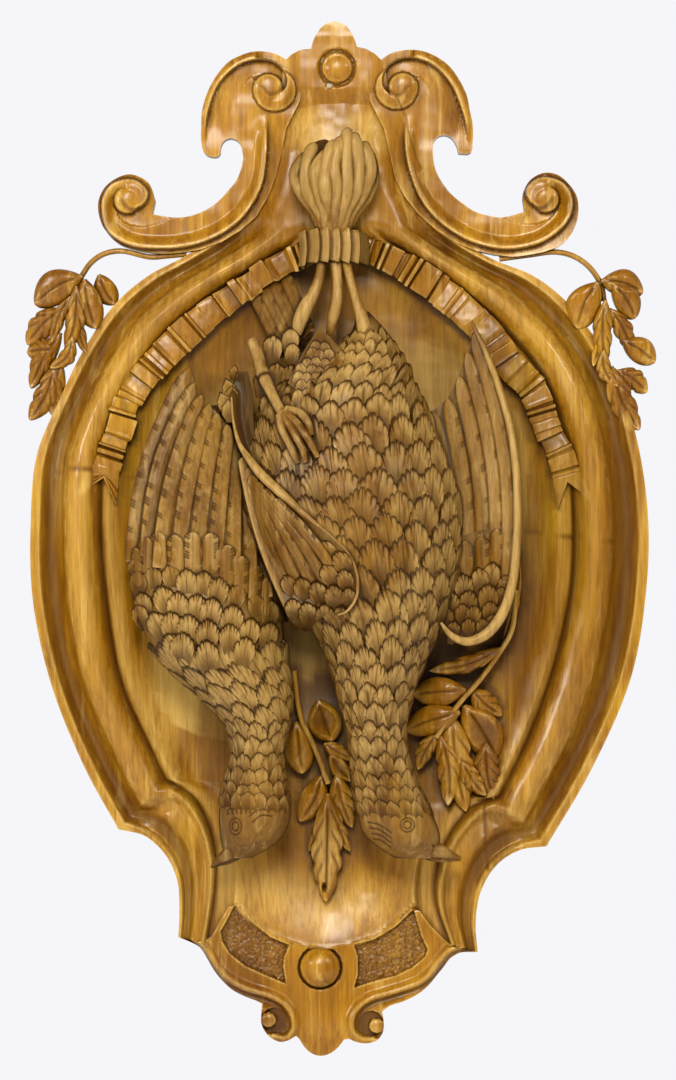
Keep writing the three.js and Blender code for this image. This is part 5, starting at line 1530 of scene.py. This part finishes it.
# Fans, and a clump of narrow feathers at the wing's top, both with their lean last
NEAR_FANS = [
    (299, 531, 8, 4, 0.8), (318, 541, 8, 4, 0.75), (334, 551, 8, 4, 0.6), (289, 552, 7.5, 4, 0.7),
    (306, 556, 8, 4, 0.6), (323, 563, 8.5, 4, 0.5), (341, 568, 7.5, 4, 0.3), (284, 574, 7, 4, 0.5),
    (298, 576, 8, 4, 0.4), (314, 580, 8, 4, 0.3), (331, 583, 8.5, 5, 0.2), (347, 586, 6.5, 3, 0.1),
    (290, 597, 7.5, 4, 0.3), (306, 600, 8.5, 4, 0.2), (323, 602, 9, 5, 0.1), (340, 604, 8, 4, 0.0),
    (330, 620, 8, 4, 0.0),
]
NEAR_CLUMP = [
    (236, 365, 4, 0.2), (226, 378, 6, -0.3), (220, 392, 6, -0.4), (233, 384, 6, 0.1), (228, 398, 6, -0.1),
]
NEAR_TOP = 380
HOLLOW_WIDTH = 9


def near_height(column, row):
    """The near wing lies on the breast, and sinks below the row of its lowest feathers."""
    rise = 4.5 - 7 * smooth(row, 590, 640)
    level = 62 + 0.16 * (row - NEAR_TOP) - 60 * smooth(row, 604, 650)
    return np.maximum(np.maximum(RIGHT_FORM.height(column, row) + rise, level), 46)


def near_hollow(column, row):
    """Height, painted shadow and darker tone of the hollow under the near wing's edge, where the wing
    shades the breast.
    """
    deep, _ = from_line(column, row, NEAR_HOLLOW)
    sink = np.clip(np.abs(deep), 0, HOLLOW_WIDTH) / HOLLOW_WIDTH
    level = np.maximum(RIGHT_FORM.height(column, row) - 1.5, 66 + 0.1 * (row - NEAR_TOP))
    return level - 4 * sink, 0.6 + 0.3 * sink, -0.2


def near_wing():
    piece = Piece("near_wing", **grey)
    dice = np.random.RandomState(35)
    outline = outline_of(([station[:2] for station in NEAR_EDGE], 60), (NEAR_ROOTS, 40))
    add_plate(piece, outline, 40, plain(near_height, 0.5), 3.0)
    add_plate(piece, NEAR_HOLLOW, 40, near_hollow, 2.0)
    for k, (foot_at, tip, bow) in enumerate(NEAR_WING):
        surface = over(near_height, 0.8 * k)
        add_strip(piece, foot_at, tip, bow, 5.4, surface, dice, lift=1.8, nicks=5, drop=4, tuck=0.3)
    for column, row, half, notches, lean in NEAR_FANS:
        grown, number = half * dice.uniform(1.1, 1.25), notches + dice.randint(0, 3)
        add_fan(piece, near_height, column, row, grown, number, -lean, dice)
    for column, row, half, lean in NEAR_CLUMP:
        add_fan(piece, incline(62, 0), column, row, half * 1.3, 2, lean, dice, 3.0, 1.6)
    add_limb(piece, NEAR_EDGE, 130, 18, 0.85, tone=0.15)
    return piece


# Birds: tied feet, knot and legs, as limbs through points of column, row, half width and height
TOES = [
    [(322, 238, 4.2, 57), (314, 214, 5, 60), (301, 190, 6.2, 60), (297, 172, 6.4, 58), (305, 158, 5, 56)],
    [(325, 238, 4.2, 60), (319, 214, 5, 64), (309, 190, 6.2, 66), (307, 168, 6.2, 65), (312, 152, 5.4, 62)],
    [(328, 238, 4.2, 62), (324, 214, 5, 66), (318, 190, 6, 70), (316, 170, 6.2, 70), (323, 156, 4.8, 67)],
    [(331, 238, 4.2, 63), (330, 214, 5, 67), (327, 190, 6, 72), (325, 168, 6.2, 72), (331, 149, 5, 69)],
    [(334, 238, 4.2, 63), (335, 214, 5, 67), (337, 190, 6, 73), (335, 166, 6.4, 72), (340, 143, 5.4, 69)],
    [(337, 238, 4.2, 62), (341, 214, 5, 66), (346, 190, 6, 71), (346, 164, 6.4, 71), (347, 137, 5.6, 68)],
    [(340, 238, 4.2, 61), (346, 214, 5, 64), (355, 192, 6, 67), (357, 168, 6.8, 67), (355, 142, 6, 65)],
    [(343, 238, 4.2, 59), (351, 214, 5, 61), (363, 194, 6, 61), (368, 172, 6.8, 61), (364, 148, 6, 60)],
    [(345, 238, 4.2, 55), (354, 214, 5, 56), (368, 198, 5.5, 54), (374, 180, 5.5, 53), (371, 160, 5.4, 53)],
]
FEET_CORE = [
    (334, 240, 14, 44), (333, 216, 19, 44), (334, 194, 30, 44), (335, 174, 35, 44), (336, 156, 29, 44),
    (340, 147, 17, 44),
]
LEGS = [
    [
        (322, 256, 5.5, 55), (320, 276, 5, 54), (314, 294, 6.5, 55), (306, 308, 7.5, 56), (300, 322, 7, 56),
        (297, 334, 5, 54),
    ],
    [(335, 256, 6, 57), (337, 280, 5.5, 59), (337, 300, 6, 61), (333, 318, 6, 60), (329, 336, 3, 58)],
    [(344, 254, 5.2, 57), (350, 280, 4.6, 58), (356, 302, 5.0, 61), (362, 320, 6.5, 63), (366, 342, 8, 66)],
]
HANGING_LEG = [
    (252, 341, 6.6, 63), (257, 354, 6.2, 66), (263, 374, 6.4, 73), (272, 394, 5, 84), (284, 417, 4.6, 92),
]
HANGING_TOES = [
    [
        (283, 414, 5.4, 92), (290, 426, 4.2, 97), (297, 438, 4.4, 100), (303, 450, 3.6, 102),
        (306, 463, 2.6, 102),
    ],
    [
        (285, 413, 5.2, 92), (297, 424, 4.4, 98), (306, 436, 4.2, 102), (313, 448, 3.4, 103),
        (318, 458, 2.4, 103),
    ],
    [
        (281, 416, 5.0, 92), (283, 430, 4.2, 96), (289, 442, 4.2, 98), (294, 454, 3.4, 100),
        (298, 464, 2.4, 100),
    ],
    [(287, 411, 4.6, 92), (300, 414, 4.0, 97), (308, 424, 3.8, 101), (312, 436, 2.6, 102)],
]

# Feathers over the thighs, and the plate that the rump's feathers lie on
THIGH_FEATHERS = [
    (275, 334, 9, 4), (292, 327, 8, 3), (293, 342, 7, 3), (278, 362, 8, 4), (292, 364, 8, 4),
    (285, 380, 8, 4), (262, 372, 7, 4), (270, 392, 8, 4), (288, 398, 8, 5),
]
RUMP = [(319, 328), (330, 338), (344, 353), (354, 374), (344, 396), (304, 398), (288, 384), (304, 352)]
RUMP_ROWS = range(340, 394, 8)

# Pleats of the knot: how far across each is, and how far it stands out
PLEAT_MARKS = [0, 0.1, 0.115, 0.28, 0.3, 0.43, 0.445, 0.58, 0.6, 0.73, 0.745, 0.86, 0.88, 1.0]
PLEAT_LIFTS = [0.6, 1.8, -1.6, 1.0, -1.6, 1.8, -1.6, 1.0, -1.6, 2.0, -1.6, 0.4, -2.4, -1.4]


def knobbly(toe, dice):
    """A toe's points moved a little and run out to a blunt end."""
    points = []
    for column, row, half, height in toe:
        points.append((
            column + dice.uniform(-1.4, 1.4), row + dice.uniform(-2, 2),
            half * dice.uniform(0.98, 1.25), height + dice.uniform(-1.5, 1.5),
        ))
    column, row, half, height = points[-1]
    points.append((column + 1.0, row - 2.5, half * 0.7, height - 1.5))
    points.append((column + 1.4, row - 4, 1.0, height - 4))
    return points


def add_rump(piece, dice):
    """The plate between the legs, with staggered rows of small feathers."""
    rump = incline(64, 0.3)
    add_plate(piece, RUMP, 30, plain(rump, 0.5), 3.0)
    for row in RUMP_ROWS:
        for column in range(296 + row % 16 // 2, 352, 9):
            if inside(np.array([column]), np.array([row - 4]), RUMP)[0]:
                shift = dice.uniform(-1.8, 1.8, 2)
                at = column + shift[0], row + shift[1]
                add_fan(piece, rump, *at, 6.4, 3, 0.05 * shift[0], dice, 1.8, 1.3)


def add_knot(piece):
    """The pleated band round the feet, arched from side to side."""
    u = np.linspace(0, 1, 160)[None]
    v = np.linspace(0, 1, 26)[:, None]
    arch = np.sqrt(np.clip(np.sin(math.pi * lerp(0.02, 0.98, u)), 0, 1))
    fold = np.interp(u, PLEAT_MARKS, PLEAT_LIFTS)
    column = lerp(298, 368, u) + 1.5 * np.sin(v * 3.1)
    row = lerp(229, 262, v) + 7 * (1 - arch) + fold * np.where(v > 0.5, 0.8, -0.5)
    height = 44 + 24 * arch + fold - 1.8 * (2 * v - 1) ** 6 + 0.25 * ripple(column, row, 4, 40)
    # Sunk pleats are darkened with painted shade, and raised pleats painted paler as painted highlight,
    # over the knot's own pale tone
    cut = 0.6 * smooth(-fold, 0.4, 1.4) + 0 * v
    tone = 1.2 + 0.4 * smooth(fold, 0.8, 1.8) + 0 * v
    add_relief(piece, place(column, row, height), 24, cut, tone, 0.8)


def feet_and_legs():
    piece = Piece("feet_and_knot", **grey)
    dice = np.random.RandomState(37)
    # The core is darkened with painted shade where it shows between the toes
    add_limb(piece, FEET_CORE, 30, 28, 0.9, cut=0.9)
    for toe in TOES:
        add_limb(piece, knobbly(toe, dice), 60, 16, 1.0, tone=0.15)
    for leg in LEGS:
        add_limb(piece, leg, 50, 20, 0.9, tone=0.25)
    add_limb(piece, HANGING_LEG, 60, 20, 0.95, tone=0.4, rings=(0.47,))
    for toe in HANGING_TOES:
        add_limb(piece, toe, 50, 14, 1.0, tone=0.1)
    for column, row, half, notches in THIGH_FEATHERS:
        add_fan(piece, incline(54, 0.16), column, row, half * 1.2, notches, 0.1, dice, 4.0)
    add_rump(piece, dice)
    add_knot(piece)
    return piece


TAILS = [
    ((286, 356, 46), (252, 290, 24), 0), ((294, 348, 46), (262, 284, 24), 0),
    ((302, 340, 46), (272, 279, 24), 0), ((310, 332, 46), (284, 273, 24), 0),
]


def tail():
    piece = Piece("left_tail", **grey)
    dice = np.random.RandomState(36)
    add_web(piece, TAILS, 14)
    for foot_at, tip, bow in TAILS:
        surface = between(foot_at, tip)
        add_strip(piece, foot_at, tip, bow, 6.4, surface, dice, lift=1.0, nicks=2, drop=6, steps=90)
    return piece


# Materials
class Wood:
    """Stained and waxed carved wood: grain along +Z, staining and painted shade in the cuts and hollows,
    and wear and painted highlights that make the ridges pale.
    """

    def __init__(self, name):
        self.material = bpy.data.materials.new(name)
        self.material.use_nodes = True
        self.nodes, self.links = self.material.node_tree.nodes, self.material.node_tree.links
        self.shader = self.nodes["Principled BSDF"]
        self.where = self.nodes.new("ShaderNodeTexCoord")

    def put(self, node, socket, value):
        if hasattr(value, "is_linked"):
            self.links.new(value, node.inputs[socket])
        else:
            node.inputs[socket].default_value = value

    def noise(self, stretch, detail, rough, twist=0.0):
        mapping = self.nodes.new("ShaderNodeMapping")
        mapping.inputs["Scale"].default_value = stretch
        self.links.new(self.where.outputs["Object"], mapping.inputs["Vector"])
        node = self.nodes.new("ShaderNodeTexNoise")
        self.links.new(mapping.outputs["Vector"], node.inputs["Vector"])
        settings = {"Scale": 1.0, "Detail": detail, "Roughness": rough, "Distortion": twist}
        for socket, value in settings.items():
            node.inputs[socket].default_value = value
        return node.outputs["Fac"]

    def ramp(self, source, *stops):
        node = self.nodes.new("ShaderNodeValToRGB")
        while len(node.color_ramp.elements) < len(stops):
            node.color_ramp.elements.new(0.5)
        for element, (position, colour) in zip(node.color_ramp.elements, stops):
            element.position = position
            element.color = (*colour, 1)
        self.links.new(source, node.inputs["Fac"])
        return node.outputs["Color"]

    def mix(self, kind, factor, a, b):
        node = self.nodes.new("ShaderNodeMix")
        node.data_type = "RGBA"
        node.blend_type = kind
        for socket, value in ((0, factor), (6, a), (7, (*b, 1) if isinstance(b, tuple) else b)):
            self.put(node, socket, value)
        return node.outputs[2]

    def range(self, source, low, high, to_low=0.0, to_high=1.0):
        node = self.nodes.new("ShaderNodeMapRange")
        node.interpolation_type = "SMOOTHSTEP"
        settings = {"From Min": low, "From Max": high, "To Min": to_low, "To Max": to_high}
        for socket, value in settings.items():
            node.inputs[socket].default_value = value
        self.links.new(source, node.inputs["Value"])
        return node.outputs["Result"]

    def math(self, kind, a, b):
        node = self.nodes.new("ShaderNodeMath")
        node.operation = kind
        self.put(node, 0, a)
        self.put(node, 1, b)
        return node.outputs[0]

    def attribute(self, title):
        node = self.nodes.new("ShaderNodeAttribute")
        node.attribute_name = title
        return node.outputs["Fac"]


# Cells of noise in each metre across, through and along the grain, and the other fixed settings
FIBRE_SCALE = (420, 420, 22)
STREAK_SCALE = (95, 95, 7)
BROAD_SCALE = (22, 22, 6)
PATCH_SCALE = (17, 17, 12)
PORE_SCALE = (1500, 1500, 95)
FIBRE_SHADE = (0.42, 0.3, 0.18)
PORE_SHADE = (0.42, 0.3, 0.2)
CLEAR = (1, 1, 1)
WAX_TINT = (1, 0.8, 0.48, 1)
WAX_ROUGHNESS = 0.2
GRAIN_STRENGTH = 0.4
GRAIN_HEIGHT = 0.0005

WOODS = {
    "golden_wood": {
        "dark": (0.16, 0.054, 0.0005), "mid": (0.3, 0.125, 0.003), "light": (0.41, 0.205, 0.01),
        "stain_shade_colour": (0.05, 0.013, 0.0003), "wear_and_highlight": (0.57, 0.36, 0.085),
        "rough": 0.32, "grain_depth": 0.5, "gloss_level": 0.32, "wax": 0.22,
    },
    "grey_brown_wood": {
        "dark": (0.085, 0.028, 0.0006), "mid": (0.16, 0.064, 0.003), "light": (0.22, 0.105, 0.01),
        "stain_shade_colour": (0.014, 0.004, 0.0002), "wear_and_highlight": (0.4, 0.25, 0.075),
        "rough": 0.38, "grain_depth": 0.45, "gloss_level": 0.26, "wax": 0.04,
    },
}


def carved_wood(name, dark, mid, light, stain_shade_colour, wear_and_highlight, rough, grain_depth, gloss_level, wax):
    wood = Wood(name)
    fibre = wood.noise(FIBRE_SCALE, 5, 0.65, 0.3)
    streaks = wood.noise(STREAK_SCALE, 4, 0.6, 0.6)
    broad = wood.noise(BROAD_SCALE, 4, 0.6, 0.9)
    patches = wood.noise(PATCH_SCALE, 3, 0.6)
    pores = wood.noise(PORE_SCALE, 2, 0.7)
    base = wood.ramp(broad, (0.34, dark), (0.5, mid), (0.64, light))
    base = wood.mix("MIX", wood.math("MULTIPLY", wood.range(streaks, 0.52, 0.68), 0.5), base, dark)
    base = wood.mix("MIX", wood.math("MULTIPLY", wood.range(streaks, 0.47, 0.34), 0.45), base, wear_and_highlight)
    base = wood.mix("MULTIPLY", grain_depth, base, wood.ramp(fibre, (0.36, FIBRE_SHADE), (0.56, CLEAR)))
    base = wood.mix("MULTIPLY", 0.5, base, wood.ramp(pores, (0.3, PORE_SHADE), (0.42, CLEAR)))
    # Wear and painted highlights mix in the pale colour, staining and painted shade the dark one
    wear_and_highlight_amount = wood.math("MULTIPLY", wood.attribute("wear_and_highlight"), wood.range(fibre, 0.35, 0.6, 0.55, 1.0))
    base = wood.mix("MIX", wear_and_highlight_amount, base, wear_and_highlight)
    stain_and_shade_amount = wood.math("MULTIPLY", wood.attribute("hollow"), wood.range(patches, 0.3, 0.7, 1.0, 0.8))
    base = wood.mix("MIX", stain_and_shade_amount, base, stain_shade_colour)
    wood.links.new(base, wood.shader.inputs["Base Color"])
    wood.shader.inputs["Specular IOR Level"].default_value = gloss_level
    wood.shader.inputs["Specular Tint"].default_value = WAX_TINT
    wood.shader.inputs["Coat Weight"].default_value = wax
    wood.shader.inputs["Coat Roughness"].default_value = WAX_ROUGHNESS
    dull = wood.range(patches, 0.35, 0.7, rough - 0.06, rough + 0.12)
    dull = wood.math("ADD", dull, wood.math("MULTIPLY", stain_and_shade_amount, 0.25))
    wood.links.new(dull, wood.shader.inputs["Roughness"])
    bump = wood.nodes.new("ShaderNodeBump")
    bump.inputs["Strength"].default_value = GRAIN_STRENGTH
    bump.inputs["Distance"].default_value = GRAIN_HEIGHT
    grain = wood.math("ADD", wood.math("MULTIPLY", fibre, 0.8), wood.math("MULTIPLY", pores, 0.4))
    wood.links.new(grain, bump.inputs["Height"])
    wood.links.new(bump.outputs["Normal"], wood.shader.inputs["Normal"])
    return wood.material


MATERIALS = {name: carved_wood(name, **look) for name, look in WOODS.items()}

# Staining and painted shade in hollows, and wear and painted highlights on ridges, from a height map of the
# front with CELLS to each square
CELLS = 2
BLURS = (1.1, 3.0, 9.0)
LARGEST_TRIANGLE = 5

# Where each triangle is sampled, as shares of its three corners
SAMPLES = np.array([
    (1, 0, 0), (0, 1, 0), (0, 0, 1), (0.5, 0.5, 0), (0.5, 0, 0.5), (0, 0.5, 0.5), (0.34, 0.33, 0.33),
    (0.7, 0.15, 0.15), (0.15, 0.7, 0.15), (0.15, 0.15, 0.7),
])


def blur(field, sigma):
    """The field under a Gaussian whose sigma is in squares."""
    down = np.fft.fftfreq(field.shape[0])[:, None]
    across = np.fft.rfftfreq(field.shape[1])[None]
    gain = np.exp(-2 * (math.pi * sigma * CELLS) ** 2 * (down ** 2 + across ** 2))
    return np.fft.irfft2(np.fft.rfft2(field) * gain, field.shape)


def points_of(mesh):
    """A mesh's points in millimetres."""
    points = np.empty(len(mesh.vertices) * 3, np.float32)
    mesh.vertices.foreach_get("co", points)
    return points.reshape(-1, 3).astype(float) * 1000


def cell_of(points):
    """The cells of the height map that points in millimetres fall in."""
    column = np.clip((points[..., 0] / SQUARE + CENTRE_COLUMN) * CELLS, 0, SHEET_COLUMNS * CELLS - 1)
    row = np.clip((CENTRE_ROW - points[..., 2] / SQUARE) * CELLS, 0, SHEET_ROWS * CELLS - 1)
    return row.astype(int), column.astype(int)


def tint(pieces, carvings):
    """Write how deep in a hollow each point is, for staining and painted shade, and how far wear and
    painted highlights make it paler, as attributes for the materials.
    """
    field = np.zeros((SHEET_ROWS * CELLS, SHEET_COLUMNS * CELLS))
    for piece in pieces:
        mesh = piece.data
        mesh.calc_loop_triangles()
        corners = np.empty(len(mesh.loop_triangles) * 3, np.int32)
        mesh.loop_triangles.foreach_get("vertices", corners)
        triangle = points_of(mesh)[corners.reshape(-1, 3)]
        size = np.abs(triangle - np.roll(triangle, 1, 1))[..., [0, 2]].max((1, 2))
        for weight in SAMPLES:
            spot = np.einsum("k,nkd->nd", weight, triangle[size < LARGEST_TRIANGLE])
            np.maximum.at(field, cell_of(spot), -spot[:, 1])
    solid = (field > 0).astype(float)
    levels = [blur(field, sigma) / np.maximum(blur(solid, sigma), 0.02) for sigma in BLURS]
    for piece, carving in zip(pieces, carvings):
        mesh = piece.data
        points = points_of(mesh)
        cell = cell_of(points)
        fine, near, wide = (level[cell] + points[:, 1] for level in levels)
        # Depth below the blurred heights around paints shade into hollows, and height above them paints
        # highlights onto ridges
        hollow = 0.7 * smooth(fine, 0.15, 1.0) + 0.5 * smooth(near, 0.5, 3) + 0.25 * smooth(wide, 2, 9)
        raised = 0.5 * smooth(-fine, 0.1, 0.7) + 0.45 * smooth(-near, 0.3, 2.0) + 0.2 * smooth(-wide, 1, 6)
        cut, tone = np.concatenate(carving.cuts), np.concatenate(carving.tones)
        hollow = hollow * (1 - 0.85 * np.clip(tone, 0, 1))
        hollow = np.clip(np.maximum(hollow, cut) - 0.25 * tone * (tone < 0), 0, 1)
        wear_and_highlight = np.clip(0.75 * raised + 0.55 * tone, 0, 1) * (1 - cut)
        for title, value in (("hollow", 0.92 * hollow), ("wear_and_highlight", 0.8 * wear_and_highlight)):
            layer = mesh.attributes.new(title, "FLOAT", "POINT")
            layer.data.foreach_set("value", value.astype(np.float32))


def show(makers):
    """Build the pieces of one CAD body and colour them together."""
    carvings = [maker() for maker in makers]
    pieces = []
    for carving in carvings:
        piece = carving.build(MATERIALS[carving.slot])
        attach(piece, "root")
        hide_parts(carving.node)
        pieces.append(piece)
    tint(pieces, carvings)


show([board_body, crown, foot, ribbon, shoulder_leaves, lower_leaves])
show([left_bird, right_bird, left_wing, spread_wing, near_wing, feet_and_legs, tail])

# Stage: pale floor, soft light and the camera of the photograph
FLOOR_HALF = 4
FLOOR_LEVEL = -0.65
corners = ((-1, -1), (1, -1), (1, 1), (-1, 1))
floor_corners = [(x * FLOOR_HALF, y * FLOOR_HALF, FLOOR_LEVEL) for x, y in corners]
floor_mesh = bpy.data.meshes.new("floor")
floor_mesh.from_pydata(floor_corners, [], [(0, 1, 2, 3)])
floor = bpy.data.objects.new("floor", floor_mesh)
bpy.context.scene.collection.objects.link(floor)
pale = bpy.data.materials.new("pale_floor")
pale.use_nodes = True
pale.node_tree.nodes["Principled BSDF"].inputs["Base Color"].default_value = (0.86, 0.86, 0.88, 1)
pale.node_tree.nodes["Principled BSDF"].inputs["Roughness"].default_value = 0.8
floor_mesh.materials.append(pale)

# The room is dim in front of the plaque and bright behind it
world = bpy.data.worlds.new("studio")
bpy.context.scene.world = world
world.use_nodes = True
sky = world.node_tree.nodes["Background"]
toward = world.node_tree.nodes.new("ShaderNodeTexCoord")
parts = world.node_tree.nodes.new("ShaderNodeSeparateXYZ")
room = world.node_tree.nodes.new("ShaderNodeValToRGB")
room.color_ramp.elements[0].color = (0.34, 0.3, 0.23, 1)
room.color_ramp.elements[1].color = (0.92, 0.92, 0.95, 1)
room.color_ramp.elements[1].position = 0.4
world.node_tree.links.new(toward.outputs["Generated"], parts.inputs["Vector"])
world.node_tree.links.new(parts.outputs["Y"], room.inputs["Fac"])
world.node_tree.links.new(room.outputs["Color"], sky.inputs["Color"])


def lamp(name, at, wide, tall, power):
    """A rectangular lamp that faces the plaque's centre."""
    light = bpy.data.lights.new(name, "AREA")
    light.shape = "RECTANGLE"
    light.size = wide
    light.size_y = tall
    light.energy = power
    holder = bpy.data.objects.new(name, light)
    holder.location = at
    holder.rotation_euler = (-Vector(at)).to_track_quat("-Z", "Y").to_euler()
    bpy.context.scene.collection.objects.link(holder)


lamp("front", (-0.1, -2.25, 0.95), 0.45, 0.85, 50)
lamp("left", (-1.6, -1.5, 0.5), 0.35, 0.35, 20)
lamp("right", (1.5, -1.6, 1.0), 0.35, 0.35, 13)

# The camera is far off, level with the middle of the sheet, whose height fills its frame on a plane
# that lies FACE_DEPTH off the wall
DISTANCE = 6.0
FACE_DEPTH = 0.04
SENSOR = 36
FRAME_HEIGHT = SHEET_ROWS * SQUARE / 1000
lens = bpy.data.cameras.new("camera")
lens.sensor_width = SENSOR
lens.lens = SENSOR * DISTANCE / FRAME_HEIGHT
lens.clip_end = 50
camera = bpy.data.objects.new("camera", lens)
camera.location = (0, -(DISTANCE + FACE_DEPTH), -(SHEET_ROWS / 2 - CENTRE_ROW) * SQUARE / 1000)
camera.rotation_euler = (math.pi / 2, 0, 0)
bpy.context.scene.collection.objects.link(camera)
bpy.context.scene.camera = camera
bpy.context.scene.view_settings.view_transform = "Standard"
